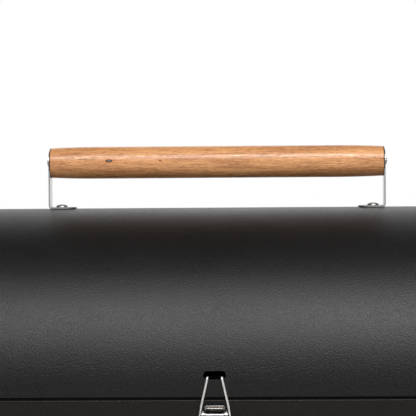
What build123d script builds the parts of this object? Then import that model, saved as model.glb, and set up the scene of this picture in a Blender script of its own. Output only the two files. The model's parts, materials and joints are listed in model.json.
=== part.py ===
from build123d import *

import os
from math import asin, cos, degrees, radians, sin

# An offset smoker: a barrel cooking chamber split into a body and a hinged lid, a firebox set lower at its
# right end, a chimney at its left end and a stand on two wheels and two feet.
# Millimetres. X runs along the barrel, -Y is the front, +Z is up. Measures below are taken from the floor
# and from the middle of the cooking chamber; save() puts the finished origin under the middle of the whole.

os.makedirs("parts", exist_ok=True)

# Cooking chamber
CHAMBER_R = 175.0
CHAMBER_LENGTH = 660.0
AXIS_Z = 800.0
SHEET = 1.5
HALF_SEAM = 1.5
FLANGE = 12.0
SEAM_ANGLE = degrees(asin(HALF_SEAM / CHAMBER_R))
CHAMBER_END_X = CHAMBER_LENGTH / 2
# Clearances: round faces of one body, and faces of two bodies that pass each other
FIT = 0.1
RUNNING = 0.06
GAP = 0.4

# Lid handle
GRIP_R = 16.0
GRIP_LENGTH = 342.0
GRIP_RISE = 47.0
STRAP = 1.5
STRAP_WIDTH = 25.0
FOOT_LENGTH = 28.0
FOOT_BOLT_INSET = 12.5

# Hinges
KNUCKLE_R = 5.0
PIN_R = 3.0
KNUCKLE_OFFSET = 5.5
LEAF = 1.5
LEAF_WIDTH = 60.0
LEAF_SPAN = 20.0
MIDDLE_KNUCKLE = 24.0

# Toggle latch, laid out on a plane that touches the barrel just below the seam
LATCH_ANGLE = -12.0
SLOT_WIDTH = 21.6
SLOT_HEIGHT = 7.9
SLOT_RISE = 22.0
BASE_WIDTH = 19.6
LEVER_WIDTH = 23.0
LATCH_SHEET = 1.2
LEVER_PIVOT = (24.0, 8.5)
BAIL_PIVOT = (8.0, 9.0)
LEVER_FACE = 12.3
WIRE_R = 1.2

# Firebox
FIREBOX_R = 150.0
FIREBOX_SHEET = 2.0
FIREBOX_LENGTH = 300.0
FIREBOX_Z = 690.0
GASKET = 3.0
FIREBOX_X = CHAMBER_END_X + GASKET
FIREBOX_END_X = FIREBOX_X + FIREBOX_LENGTH
FIREBOX_MIDDLE_X = FIREBOX_X + FIREBOX_LENGTH / 2
FIREBOX_HINGE_ANGLE = 121.0
PASSAGE_WIDTH = 150.0
PASSAGE_Z = (668.0, 742.0)
VENT_Z = 700.0
VENT_R = 55.0
VENT_HOLE_R = 12.0
VENT_HOLE_CIRCLE = 34.0
DRAWER_Z = 570.9
DRAWER_WIDTH = 125.0
DRAWER_HEIGHT = 35.0
DRAWER_LENGTH = 250.0

# Chimney
CHIMNEY_X = -400.0
CHIMNEY_Z = 735.0
CHIMNEY_R = 38.0
CHIMNEY_TOP = 1230.0

# Stand
LEG = 25.0
LEG_X = 250.0
LEG_Y = 150.0
STRAP_BAND = 40.0
WHEEL_R = 80.0
WHEEL_WIDTH = 35.0
WHEEL_Y = 188.0
AXLE_R = 6.0
RAIL_Z = 200.0
SHELF_Z = 690.0
SLAT_WIDTH = 60.0
SLAT_GAP = 8.0
SLAT_LENGTH = 600.0
SLAT_THICKNESS = 18.0
SHELF_Y = -205.0

# The finished origin lies on the floor under the middle of the overall box
DRAWER_PULL_REACH = 38.0
LEFT_REACH = CHIMNEY_X - CHIMNEY_R - 10
RIGHT_REACH = FIREBOX_END_X + DRAWER_PULL_REACH
FRONT_REACH = SHELF_Y - 3 * SLAT_WIDTH - 2 * SLAT_GAP
BACK_REACH = WHEEL_Y + WHEEL_WIDTH / 2 + 7
MIDDLE_X = (LEFT_REACH + RIGHT_REACH) / 2
MIDDLE_Y = (FRONT_REACH + BACK_REACH) / 2

UP = (Align.CENTER, Align.CENTER, Align.MIN)
DOWN = (Align.CENTER, Align.CENTER, Align.MAX)


def save(piece, name):
    """Label a finished piece, bring it into the finished frame and write it."""
    piece.part.label = name
    export_step(piece.part.moved(Location((-MIDDLE_X, -MIDDLE_Y, 0))), f"parts/{name}.step")


def across(x, z=AXIS_Z):
    """A plane square to a barrel: its x is the smoker's Y, its y is up and it faces +X."""
    return Plane(origin=(x, 0, z), x_dir=(0, 1, 0), z_dir=(1, 0, 0))


def on_barrel(x, angle, radius=CHAMBER_R, z=AXIS_Z):
    """A plane touching a barrel and facing out, at an angle counted from the front over the top."""
    turn = radians(angle)
    return Plane(
        origin=(x, -radius * cos(turn), z + radius * sin(turn)),
        x_dir=(1, 0, 0),
        z_dir=(0, -cos(turn), sin(turn)),
    )


def ring_point(radius, angle):
    """A point of a circle in an across() plane, the angle counted from the front over the top."""
    return (-radius * cos(radians(angle)), radius * sin(radians(angle)))


def ring_slice(inner_r, outer_r, start, stop):
    """A flat slice of a ring between two angles."""
    middle = (start + stop) / 2
    with BuildSketch() as face:
        with BuildLine():
            outer = ThreePointArc(*[ring_point(outer_r, a) for a in (start, middle, stop)])
            inner = ThreePointArc(*[ring_point(inner_r, a) for a in (start, middle, stop)])
            Line(outer @ 0, inner @ 0)
            Line(outer @ 1, inner @ 1)
        make_face()
    return face.sketch


def disc_slice(radius, start, stop):
    """A flat disc cut straight across between two angles."""
    middle = (start + stop) / 2
    with BuildSketch() as face:
        with BuildLine():
            arc = ThreePointArc(*[ring_point(radius, a) for a in (start, middle, stop)])
            Line(arc @ 1, arc @ 0)
        make_face()
    return face.sketch


def curved_sheet(x, length, inner_r, outer_r, start, stop, z=AXIS_Z):
    """Add a curved sheet, rolled about a barrel's axis, to the piece in hand."""
    with BuildSketch(across(x, z)) as section:
        add(ring_slice(inner_r, outer_r, start, stop))
    extrude(section.sketch, amount=length, dir=(1, 0, 0))


def half_end(outer_x, inward, start, stop):
    """Add a half-round end plate with a flange turned in along its curve."""
    radius = CHAMBER_R - SHEET - FIT
    with BuildSketch(across(outer_x)) as plate:
        add(disc_slice(radius, start, stop))
    extrude(plate.sketch, amount=SHEET, dir=(inward, 0, 0))
    with BuildSketch(across(outer_x)) as lip:
        add(ring_slice(radius - SHEET, radius, start, stop))
    extrude(lip.sketch, amount=FLANGE, dir=(inward, 0, 0))


def bolt(place, head_r, head_height, shank_r, shank_length):
    """Add a domed bolt whose head stands on the place and whose shank goes down through it."""
    with Locations(place):
        Cylinder(head_r, head_height * 0.55, align=UP)
        Cylinder(shank_r, shank_length, align=DOWN)
    dome_r = (head_r**2 + head_height**2) / (2 * head_height)
    with BuildSketch(Plane(place.origin, x_dir=place.x_dir, z_dir=-place.y_dir)) as profile:
        with BuildLine():
            Line((0, 0), (head_r, 0))
            RadiusArc((head_r, 0), (0, head_height), -dome_r)
            Line((0, head_height), (0, 0))
        make_face()
    revolve(profile.sketch, axis=Axis(place.origin, place.z_dir))


def nut(place, across_flats_r, height, bore_r):
    """Add a hexagonal nut standing on the place."""
    with BuildSketch(place) as outline:
        RegularPolygon(across_flats_r, 6)
        Circle(bore_r, mode=Mode.SUBTRACT)
    extrude(outline.sketch, amount=height, dir=place.z_dir)


def drill(place, radius, depth=20.0):
    """Cut a round hole down through the place."""
    with Locations(place):
        Cylinder(radius, depth, mode=Mode.SUBTRACT)


# ---- Cooking chamber body ----
BODY_START, BODY_STOP = -180 + SEAM_ANGLE, -SEAM_ANGLE
LID_START, LID_STOP = SEAM_ANGLE, 180 - SEAM_ANGLE
CRADLE_BOLT_ANGLES = (-60, -120)
LATCH_RIVETS = (-18, 10)
HINGE_XS = (-200, 200)
GASKET_BOLTS = [(y, z) for y in (-84, 84) for z in (680, 730)]
ELBOW_BOLTS = [(y, z) for y in (-36, 36) for z in (CHIMNEY_Z - 32, CHIMNEY_Z + 32)]
latch_plane = on_barrel(0, LATCH_ANGLE)


def latch_at(x, along, out):
    """A point of the latch: across, up along its base, and out from the barrel."""
    return latch_plane.from_local_coords((x, along, out))


def latch_side(x):
    """A plane seen from the latch's side: its x runs up the base and its y runs out of the barrel."""
    return Plane(origin=latch_at(x, 0, 0), x_dir=latch_plane.y_dir, z_dir=(1, 0, 0))


with BuildPart() as chamber_wall:
    curved_sheet(-CHAMBER_END_X, CHAMBER_LENGTH, CHAMBER_R - SHEET, CHAMBER_R, BODY_START, BODY_STOP)
    for x in (-LEG_X, LEG_X):
        for angle in CRADLE_BOLT_ANGLES:
            drill(on_barrel(x, angle, CHAMBER_R + 5), 3.2)
    for along in LATCH_RIVETS:
        place = Plane(origin=latch_at(0, along, 5), x_dir=(1, 0, 0), z_dir=latch_plane.z_dir)
        drill(place, 2.1)
    with Locations((-180, 0, AXIS_Z - CHAMBER_R)):
        Cylinder(12.1, 20, mode=Mode.SUBTRACT)
save(chamber_wall, "chamber_wall")

with BuildPart() as chamber_end_left:
    half_end(-CHAMBER_END_X, 1, BODY_START, BODY_STOP)
    with BuildSketch(across(-CHAMBER_END_X)):
        with Locations((0, CHIMNEY_Z - AXIS_Z)):
            Circle(CHIMNEY_R - 3)
        with Locations([(y, z - AXIS_Z) for y, z in ELBOW_BOLTS]):
            Circle(3.2)
    extrude(amount=SHEET, mode=Mode.SUBTRACT)
save(chamber_end_left, "chamber_end_left")

with BuildPart() as chamber_end_right:
    half_end(CHAMBER_END_X, -1, BODY_START, BODY_STOP)
    with BuildSketch(across(CHAMBER_END_X)):
        with Locations((0, sum(PASSAGE_Z) / 2 - AXIS_Z)):
            Rectangle(PASSAGE_WIDTH, PASSAGE_Z[1] - PASSAGE_Z[0])
        with Locations([(y, z - AXIS_Z) for y, z in GASKET_BOLTS]):
            Circle(3.2)
    extrude(amount=-SHEET, mode=Mode.SUBTRACT)
save(chamber_end_right, "chamber_end_right")

# A strip behind the seam, fixed inside the body and standing up behind the lid's edge
RIM_OUTER = CHAMBER_R - SHEET - 0.9
with BuildPart() as rim_strip:
    for start, stop in ((-5.0, 2.6), (177.4, 185.0)):
        curved_sheet(-310, 620, RIM_OUTER - 1, RIM_OUTER, start, stop)
save(rim_strip, "rim_strip")

RAIL_TOP_Z = 770.0

def grate(middle_x, length, width, bar_r, pitch, top_z):
    """Add a welded wire grate: bars from front to back over three bars along it, inside a frame."""
    bars = int(length / pitch) - 1
    for index in range(bars):
        x = middle_x + (index - (bars - 1) / 2) * pitch
        with Locations(Location((x, 0, top_z - bar_r), (90, 0, 0))):
            Cylinder(bar_r, width)
    for y in (-width / 2 + 4, 0, width / 2 - 4):
        with Locations(Location((middle_x, y, top_z - 2.6 * bar_r), (0, 90, 0))):
            Cylinder(bar_r * 1.2, length)


with BuildPart() as cooking_grates:
    for x in (-160, 160):
        grate(x, 310, 326, 2.0, 15.0, RAIL_TOP_Z + 8)
save(cooking_grates, "cooking_grates")

with BuildPart() as grease_spout:
    with BuildSketch(Plane.XY.offset(AXIS_Z - CHAMBER_R - 26)):
        with Locations((-180, 0)):
            Circle(12)
            Circle(10.5, mode=Mode.SUBTRACT)
    extrude(amount=30)
save(grease_spout, "grease_spout")


# ---- Hinges: curved leaves riveted to a barrel, knuckles round a pin ----
def hinge_leaf(x, axis_place, radius, z, pin_angle, toward, knuckles):
    """Add a hinge leaf that runs from the pin round the barrel, with its knuckles."""
    near, far = pin_angle + toward * 2.4, pin_angle + toward * LEAF_SPAN
    inner, outer = radius + FIT, radius + FIT + LEAF
    curved_sheet(x - LEAF_WIDTH / 2, LEAF_WIDTH, inner, outer, near, far, z)
    for start, length in knuckles:
        curved_sheet(x + start, length, inner, outer, pin_angle + toward * 0.55, near + toward * 0.1, z)
        with Locations(Location((x + start, *axis_place), (0, 90, 0))):
            Cylinder(KNUCKLE_R, length, align=UP)
    with Locations(Location((x, *axis_place), (0, 90, 0))):
        Cylinder(PIN_R + RUNNING, LEAF_WIDTH + 2, mode=Mode.SUBTRACT)


FIXED_KNUCKLES = [(-MIDDLE_KNUCKLE / 2, MIDDLE_KNUCKLE)]
OUTER_KNUCKLE = (LEAF_WIDTH - MIDDLE_KNUCKLE) / 2 - GAP
MOVING_KNUCKLES = [(-LEAF_WIDTH / 2, OUTER_KNUCKLE), (MIDDLE_KNUCKLE / 2 + GAP, OUTER_KNUCKLE)]
LID_HINGE = (CHAMBER_R + KNUCKLE_OFFSET, AXIS_Z)
FIREBOX_HINGE = (
    -(FIREBOX_R + KNUCKLE_OFFSET) * cos(radians(FIREBOX_HINGE_ANGLE)),
    FIREBOX_Z + (FIREBOX_R + KNUCKLE_OFFSET) * sin(radians(FIREBOX_HINGE_ANGLE)),
)
FIREBOX_HINGE_XS = (FIREBOX_MIDDLE_X - 80, FIREBOX_MIDDLE_X + 80)


def hinge_pin(x, axis_place):
    """Add a hinge pin with a small head at each end."""
    with Locations(Location((x, *axis_place), (0, 90, 0))):
        Cylinder(PIN_R, LEAF_WIDTH + 1)
    for side in (-1, 1):
        with Locations(Location((x + side * (LEAF_WIDTH / 2 + 1.1), *axis_place), (0, 90, 0))):
            Cylinder(KNUCKLE_R - 0.6, 1.8)


with BuildPart() as lid_hinge_fixed_leaves:
    for x in HINGE_XS:
        hinge_leaf(x, LID_HINGE, CHAMBER_R, AXIS_Z, 180, 1, FIXED_KNUCKLES)
save(lid_hinge_fixed_leaves, "lid_hinge_fixed_leaves")

with BuildPart() as lid_hinge_moving_leaves:
    for x in HINGE_XS:
        hinge_leaf(x, LID_HINGE, CHAMBER_R, AXIS_Z, 180, -1, MOVING_KNUCKLES)
save(lid_hinge_moving_leaves, "lid_hinge_moving_leaves")

with BuildPart() as lid_hinge_pins:
    for x in HINGE_XS:
        hinge_pin(x, LID_HINGE)
save(lid_hinge_pins, "lid_hinge_pins")

# ---- Lid ----
GRIP_Z = AXIS_Z + CHAMBER_R + GRIP_RISE
STRAP_OUTER_X = GRIP_LENGTH / 2 + STRAP
FOOT_BOLT_X = STRAP_OUTER_X - FOOT_BOLT_INSET
FOOT_TOP = AXIS_Z + CHAMBER_R + FIT + STRAP
GAUGE_X = -262.0
GAUGE_ANGLE = 40.0
GAUGE_R = 30.0
GAUGE_DEPTH = 16.0
gauge_plane = on_barrel(GAUGE_X, GAUGE_ANGLE, CHAMBER_R + 0.2)

with BuildPart() as lid_wall:
    curved_sheet(-CHAMBER_END_X, CHAMBER_LENGTH, CHAMBER_R - SHEET, CHAMBER_R, LID_START, LID_STOP)
    with BuildSketch(Plane(origin=(0, -CHAMBER_R - 5, AXIS_Z + SLOT_RISE), x_dir=(1, 0, 0), z_dir=(0, -1, 0))):
        SlotOverall(SLOT_WIDTH, SLOT_HEIGHT)
    extrude(amount=-15, mode=Mode.SUBTRACT)
    for x in (-FOOT_BOLT_X, FOOT_BOLT_X):
        drill(Plane((x, 0, AXIS_Z + CHAMBER_R + 5)), 3.2)
    drill(on_barrel(GAUGE_X, GAUGE_ANGLE, CHAMBER_R + 5), 4.2)
save(lid_wall, "lid_wall")

with BuildPart() as lid_end_left:
    half_end(-CHAMBER_END_X, 1, LID_START, LID_STOP)
save(lid_end_left, "lid_end_left")

with BuildPart() as lid_end_right:
    half_end(CHAMBER_END_X, -1, LID_START, LID_STOP)
save(lid_end_right, "lid_end_right")

with BuildPart() as lid_handle_grip:
    with BuildSketch(Plane.XZ) as half_profile:
        with BuildLine():
            Polyline((-171, 0), (-171, 14.2), (-169.6, 15.6), (-166, GRIP_R), (166, GRIP_R))
            Polyline((166, GRIP_R), (169.6, 15.6), (171, 14.2), (171, 0), (-171, 0))
        make_face()
    revolve(axis=Axis.X)
    for side in (-1, 1):
        with Locations(Location((side * GRIP_LENGTH / 2, 0, 0), (0, 90, 0))):
            Cylinder(2.1, 60, mode=Mode.SUBTRACT)
lid_handle_grip.part = lid_handle_grip.part.moved(Location((0, 0, GRIP_Z)))
save(lid_handle_grip, "lid_handle_grip")


def handle_bracket(side):
    """Add a bent strap: an upright over the grip's end and a round-tipped foot on the lid."""
    face_x = side * GRIP_LENGTH / 2
    with BuildSketch(Plane(origin=(face_x, 0, 0), x_dir=(0, 1, 0), z_dir=(1, 0, 0))) as upright:
        with Locations((0, (GRIP_Z + FOOT_TOP - STRAP) / 2)):
            Rectangle(STRAP_WIDTH, GRIP_Z - FOOT_TOP + STRAP)
        with Locations((0, GRIP_Z)):
            Circle(STRAP_WIDTH / 2)
            Circle(2.1, mode=Mode.SUBTRACT)
    extrude(upright.sketch, amount=STRAP, dir=(side, 0, 0))
    tip_x = side * (STRAP_OUTER_X - FOOT_LENGTH + STRAP_WIDTH / 2)
    with BuildSketch(Plane.XY.offset(FOOT_TOP - STRAP)) as foot:
        with Locations(((tip_x + side * STRAP_OUTER_X) / 2, 0)):
            Rectangle(abs(STRAP_OUTER_X - abs(tip_x)), STRAP_WIDTH)
        with Locations((tip_x, 0)):
            Circle(STRAP_WIDTH / 2)
        with Locations((side * FOOT_BOLT_X, 0)):
            Circle(3.2, mode=Mode.SUBTRACT)
    extrude(foot.sketch, amount=STRAP, dir=(0, 0, 1))


with BuildPart() as lid_handle_bracket_left:
    handle_bracket(-1)
save(lid_handle_bracket_left, "lid_handle_bracket_left")

with BuildPart() as lid_handle_bracket_right:
    handle_bracket(1)
save(lid_handle_bracket_right, "lid_handle_bracket_right")

with BuildPart() as lid_handle_end_screws:
    for side in (-1, 1):
        bolt(Plane((side * STRAP_OUTER_X, 0, GRIP_Z), x_dir=(0, 1, 0), z_dir=(side, 0, 0)), 4, 2.3, 2, 28)
save(lid_handle_end_screws, "lid_handle_end_screws")

with BuildPart() as lid_handle_foot_bolts:
    for x in (-FOOT_BOLT_X, FOOT_BOLT_X):
        bolt(Plane((x, 0, FOOT_TOP)), 6, 3, 3, 14)
        nut(Plane((x, 0, FOOT_TOP - STRAP - SHEET - 6)), 5.8, 5, 2.9)
save(lid_handle_foot_bolts, "lid_handle_foot_bolts")


# ---- Thermometer on the lid ----
def gauge_at(out):
    """A plane square to the thermometer's axis, a distance out from the lid."""
    return Plane(origin=gauge_plane.from_local_coords((0, 0, out)), x_dir=(1, 0, 0), z_dir=gauge_plane.z_dir)


with BuildPart() as thermometer_case:
    with BuildSketch(gauge_at(0)):
        Circle(GAUGE_R)
    extrude(amount=GAUGE_DEPTH)
    with BuildSketch(gauge_at(2)):
        Circle(GAUGE_R - 1.4)
    extrude(amount=GAUGE_DEPTH, mode=Mode.SUBTRACT)
    with BuildSketch(gauge_at(-1)):
        Circle(4.2)
    extrude(amount=10, mode=Mode.SUBTRACT)
save(thermometer_case, "thermometer_case")

with BuildPart() as thermometer_dial:
    with BuildSketch(gauge_at(6)):
        Circle(GAUGE_R - 1.5)
        Circle(1.6, mode=Mode.SUBTRACT)
    extrude(amount=1)
save(thermometer_dial, "thermometer_dial")

with BuildPart() as thermometer_glass:
    with BuildSketch(gauge_at(12.5)):
        Circle(GAUGE_R - 1.5)
    extrude(amount=1.5)
save(thermometer_glass, "thermometer_glass")

with BuildPart() as thermometer_stem:
    with BuildSketch(gauge_at(5.5)):
        Circle(4)
    extrude(amount=-62)
    with BuildSketch(gauge_at(-8)):
        RegularPolygon(8, 6)
    extrude(amount=5)
    with BuildSketch(gauge_at(5.5)):
        Circle(1)
    extrude(amount=4)
save(thermometer_stem, "thermometer_stem")

with BuildPart() as thermometer_needle:
    with BuildSketch(gauge_at(8)):
        Circle(3)
        with BuildLine():
            Polyline((-1.6, 0), (-17.6, -15.2), (0, -1.6), (5.5, 5), (-1.6, 0))
        make_face()
        Circle(1 + RUNNING, mode=Mode.SUBTRACT)
    extrude(amount=0.8)
save(thermometer_needle, "thermometer_needle")

# ---- Toggle latch ----
EAR_R = 3.4
LEVER_EAR_R = 4.6
LATCH_PIN_R = 2.0
LEVER_TAIL = -38.0
half_base = BASE_WIDTH / 2
half_lever = LEVER_WIDTH / 2
pivot_up, pivot_out = LEVER_PIVOT
lever_top = pivot_up + 0.4

with BuildPart() as latch_base:
    with BuildSketch(Plane(origin=latch_at(0, 0, 0.2), x_dir=(1, 0, 0), z_dir=latch_plane.z_dir)):
        with Locations((0, 1.2)):
            RectangleRounded(BASE_WIDTH, 60.4, 2)
    extrude(amount=LATCH_SHEET)
    for x in (-half_base, half_base - LATCH_SHEET):
        with BuildSketch(latch_side(x)) as ear:
            with Locations(LEVER_PIVOT):
                Circle(EAR_R)
            with BuildLine():
                Polyline(
                    (pivot_up - EAR_R, pivot_out),
                    (pivot_up - 9, 0.8),
                    (pivot_up + 1, 0.8),
                    (pivot_up + 1, pivot_out),
                    (pivot_up - EAR_R, pivot_out),
                )
            make_face()
            with Locations(LEVER_PIVOT):
                Circle(LATCH_PIN_R + RUNNING, mode=Mode.SUBTRACT)
        extrude(amount=LATCH_SHEET)
        with BuildSketch(latch_side(x)) as flange:
            with BuildLine():
                Polyline((-27, 0.8), (29.4, 0.8), (28, 2.6), (-25, 2.6), (-27, 0.8))
            make_face()
        extrude(amount=LATCH_SHEET)
    for along in LATCH_RIVETS:
        drill(Plane(origin=latch_at(0, along, 5), x_dir=(1, 0, 0), z_dir=latch_plane.z_dir), 2.1)
save(latch_base, "latch_base")

with BuildPart() as latch_rivets:
    for along in LATCH_RIVETS:
        seat = 0.2 + LATCH_SHEET
        bolt(Plane(origin=latch_at(0, along, seat), x_dir=(1, 0, 0), z_dir=latch_plane.z_dir), 3.6, 1.4, 2, 4)
        with Locations(Plane(origin=latch_at(0, along, -3.4), x_dir=(1, 0, 0), z_dir=latch_plane.z_dir)):
            Cylinder(3.2, 1.2)
save(latch_rivets, "latch_rivets")

with BuildPart() as latch_lever:
    with BuildSketch(latch_side(-half_lever)) as face_plate:
        with BuildLine():
            Polyline(
                (lever_top, LEVER_FACE),
                (LEVER_TAIL, LEVER_FACE),
                (LEVER_TAIL - 8, LEVER_FACE + 4.5),
                (LEVER_TAIL - 8.5, LEVER_FACE + 5.7),
                (LEVER_TAIL - 0.4, LEVER_FACE + LATCH_SHEET),
                (lever_top, LEVER_FACE + LATCH_SHEET),
                (lever_top, LEVER_FACE),
            )
        make_face()
    extrude(amount=LEVER_WIDTH)
    for x in (-half_lever, half_lever - LATCH_SHEET):
        with BuildSketch(latch_side(x)) as cheek:
            with Locations(LEVER_PIVOT):
                Circle(LEVER_EAR_R)
            with BuildLine():
                Polyline(
                    (pivot_up, pivot_out - LEVER_EAR_R),
                    (-4, pivot_out - LEVER_EAR_R),
                    (-30, LEVER_FACE + 0.3),
                    (lever_top, LEVER_FACE + 0.3),
                    (pivot_up, pivot_out - LEVER_EAR_R),
                )
            make_face()
            with Locations(LEVER_PIVOT):
                Circle(LATCH_PIN_R + RUNNING, mode=Mode.SUBTRACT)
            with Locations(BAIL_PIVOT):
                Circle(WIRE_R + RUNNING, mode=Mode.SUBTRACT)
        extrude(amount=LATCH_SHEET)
save(latch_lever, "latch_lever")

with BuildPart() as latch_lever_pin:
    with Locations(Plane(origin=latch_at(0, *LEVER_PIVOT), x_dir=(0, 1, 0), z_dir=(1, 0, 0))):
        Cylinder(LATCH_PIN_R, LEVER_WIDTH + 0.1)
    for side in (-1, 1):
        end = Plane(origin=latch_at(side * (half_lever + 0.05), *LEVER_PIVOT), z_dir=(side, 0, 0))
        with Locations(end):
            Cylinder(2.9, 0.7, align=UP)
save(latch_lever_pin, "latch_lever_pin")

# The bail: its ends turn in through the lever's cheeks, it bends over the seam and passes through the slot
# just above the slot's lower edge, which it pulls down
BAIL_HALF = 16.3
BAIL_KNEE = (12.65, 31.5, 0.3)
BAIL_TOP = (6.85, 56.0, -7.0)
BAIL_INSIDE = (6.85, 54.8, -12.4)
bail_points = [
    (half_lever - LATCH_SHEET - 0.1, *BAIL_PIVOT),
    (BAIL_HALF, *BAIL_PIVOT),
    BAIL_KNEE,
    BAIL_TOP,
    BAIL_INSIDE,
]
bail_points += [(-x, along, out) for x, along, out in reversed(bail_points)]
bail_radii = [2.4, 9, 1.7, 2.0]
with BuildPart() as latch_bail:
    with BuildLine() as bail_route:
        FilletPolyline(*[latch_at(*point) for point in bail_points], radius=bail_radii + bail_radii[::-1])
    with BuildSketch(Plane(origin=bail_route.line @ 0, z_dir=bail_route.line % 0)):
        Circle(WIRE_R)
    sweep()
save(latch_bail, "latch_bail")

# ---- Firebox ----
FIREBOX_LID_X = FIREBOX_X + 20
FIREBOX_LID_LENGTH = FIREBOX_LENGTH - 40
LID_CLEARANCE = 0.6

with BuildPart() as firebox_gasket:
    with BuildSketch(across(CHAMBER_END_X, sum(PASSAGE_Z) / 2)):
        Rectangle(184, 98)
        Rectangle(PASSAGE_WIDTH, PASSAGE_Z[1] - PASSAGE_Z[0], mode=Mode.SUBTRACT)
        with Locations([(y, z - sum(PASSAGE_Z) / 2) for y, z in GASKET_BOLTS]):
            Circle(3.2, mode=Mode.SUBTRACT)
    extrude(amount=GASKET)
save(firebox_gasket, "firebox_gasket")

with BuildPart() as firebox_shell:
    with BuildSketch(across(FIREBOX_X, FIREBOX_Z)):
        Circle(FIREBOX_R)
        Circle(FIREBOX_R - FIREBOX_SHEET, mode=Mode.SUBTRACT)
    extrude(amount=FIREBOX_LENGTH)
    with BuildSketch(across(FIREBOX_X + 30, FIREBOX_Z)):
        add(ring_slice(FIREBOX_R - 10, FIREBOX_R + 10, 5, 115))
    extrude(amount=FIREBOX_LENGTH - 60, mode=Mode.SUBTRACT)
save(firebox_shell, "firebox_shell")


def firebox_disc(outer_x, inward):
    """Add a full round firebox end with a flange turned in."""
    radius = FIREBOX_R - FIREBOX_SHEET - FIT
    with BuildSketch(across(outer_x, FIREBOX_Z)) as disc:
        Circle(radius)
    extrude(disc.sketch, amount=FIREBOX_SHEET, dir=(inward, 0, 0))
    with BuildSketch(across(outer_x, FIREBOX_Z)) as lip:
        Circle(radius)
        Circle(radius - FIREBOX_SHEET, mode=Mode.SUBTRACT)
    extrude(lip.sketch, amount=FLANGE, dir=(inward, 0, 0))


with BuildPart() as firebox_end_left:
    firebox_disc(FIREBOX_X, 1)
    with BuildSketch(across(FIREBOX_X, sum(PASSAGE_Z) / 2)):
        Rectangle(PASSAGE_WIDTH, PASSAGE_Z[1] - PASSAGE_Z[0])
        with Locations([(y, z - sum(PASSAGE_Z) / 2) for y, z in GASKET_BOLTS]):
            Circle(3.2)
    extrude(amount=FIREBOX_SHEET, mode=Mode.SUBTRACT)
save(firebox_end_left, "firebox_end_left")

with BuildPart() as firebox_end_right:
    firebox_disc(FIREBOX_END_X, -1)
    with BuildSketch(across(FIREBOX_END_X, VENT_Z)):
        with PolarLocations(VENT_HOLE_CIRCLE, 4):
            Circle(VENT_HOLE_R)
        Circle(3.2)
        with Locations((0, DRAWER_Z + DRAWER_HEIGHT / 2 - VENT_Z)):
            Rectangle(DRAWER_WIDTH + 5, DRAWER_HEIGHT + 5)
    extrude(amount=-FIREBOX_SHEET, mode=Mode.SUBTRACT)
save(firebox_end_right, "firebox_end_right")

with BuildPart() as charcoal_grate:
    grate(FIREBOX_MIDDLE_X, 264, 274, 3.0, 20.0, FIREBOX_Z - 44)
save(charcoal_grate, "charcoal_grate")

# Angle rails: two for the cooking grates in the chamber, two for the ash drawer in the firebox
with BuildPart() as inner_rails:
    for side in (-1, 1):
        with Locations((0, side * 160, RAIL_TOP_Z)):
            Box(640, 16, 2, align=DOWN)
        with Locations((0, side * 153, RAIL_TOP_Z)):
            Box(640, 2, 14, align=DOWN)
    rail_length = FIREBOX_LENGTH - 2 * FIREBOX_SHEET - 2 * FIT
    for side in (-1, 1):
        with Locations((FIREBOX_MIDDLE_X, side * 56, DRAWER_Z - GAP)):
            Box(rail_length, 16, 2, align=DOWN)
        with Locations((FIREBOX_MIDDLE_X, side * 64, DRAWER_Z - GAP - 2)):
            Box(rail_length, 2, 22, align=UP)
save(inner_rails, "inner_rails")

with BuildPart() as firebox_hinge_fixed_leaves:
    for x in FIREBOX_HINGE_XS:
        hinge_leaf(x, FIREBOX_HINGE, FIREBOX_R, FIREBOX_Z, FIREBOX_HINGE_ANGLE, 1, FIXED_KNUCKLES)
save(firebox_hinge_fixed_leaves, "firebox_hinge_fixed_leaves")

with BuildPart() as firebox_lid_panel:
    curved_sheet(
        FIREBOX_LID_X,
        FIREBOX_LID_LENGTH,
        FIREBOX_R + LID_CLEARANCE,
        FIREBOX_R + LID_CLEARANCE + FIREBOX_SHEET,
        1.5,
        FIREBOX_HINGE_ANGLE - 3.2,
        FIREBOX_Z,
    )
save(firebox_lid_panel, "firebox_lid_panel")

PANEL_OUTER_R = FIREBOX_R + LID_CLEARANCE + FIREBOX_SHEET
with BuildPart() as firebox_hinge_moving_leaves:
    for x in FIREBOX_HINGE_XS:
        hinge_leaf(x, FIREBOX_HINGE, PANEL_OUTER_R, FIREBOX_Z, FIREBOX_HINGE_ANGLE, -1, MOVING_KNUCKLES)
save(firebox_hinge_moving_leaves, "firebox_hinge_moving_leaves")

# The firebox lid's grip is a smaller bar on two straps, on the panel's front
FIRE_GRIP_ANGLE = 42.0
FIRE_GRIP_R = 13.0
FIRE_GRIP_LENGTH = 180.0
FIRE_GRIP_RISE = 44.0
fire_seat = on_barrel(FIREBOX_MIDDLE_X, FIRE_GRIP_ANGLE, PANEL_OUTER_R + FIT, FIREBOX_Z)


def fire_grip_end(side, out):
    """A plane facing along the grip, level with its axis or with the panel."""
    place = fire_seat.from_local_coords((side * FIRE_GRIP_LENGTH / 2, 0, out))
    return Plane(origin=place, x_dir=fire_seat.y_dir, z_dir=(1, 0, 0))


with BuildPart() as firebox_lid_grip:
    with BuildSketch(fire_grip_end(-1, FIRE_GRIP_RISE)):
        Circle(FIRE_GRIP_R)
        Circle(2.1, mode=Mode.SUBTRACT)
    extrude(amount=FIRE_GRIP_LENGTH)
    fillet(firebox_lid_grip.edges().filter_by(GeomType.CIRCLE).sort_by(SortBy.RADIUS)[-2:], 2)
save(firebox_lid_grip, "firebox_lid_grip")

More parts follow.
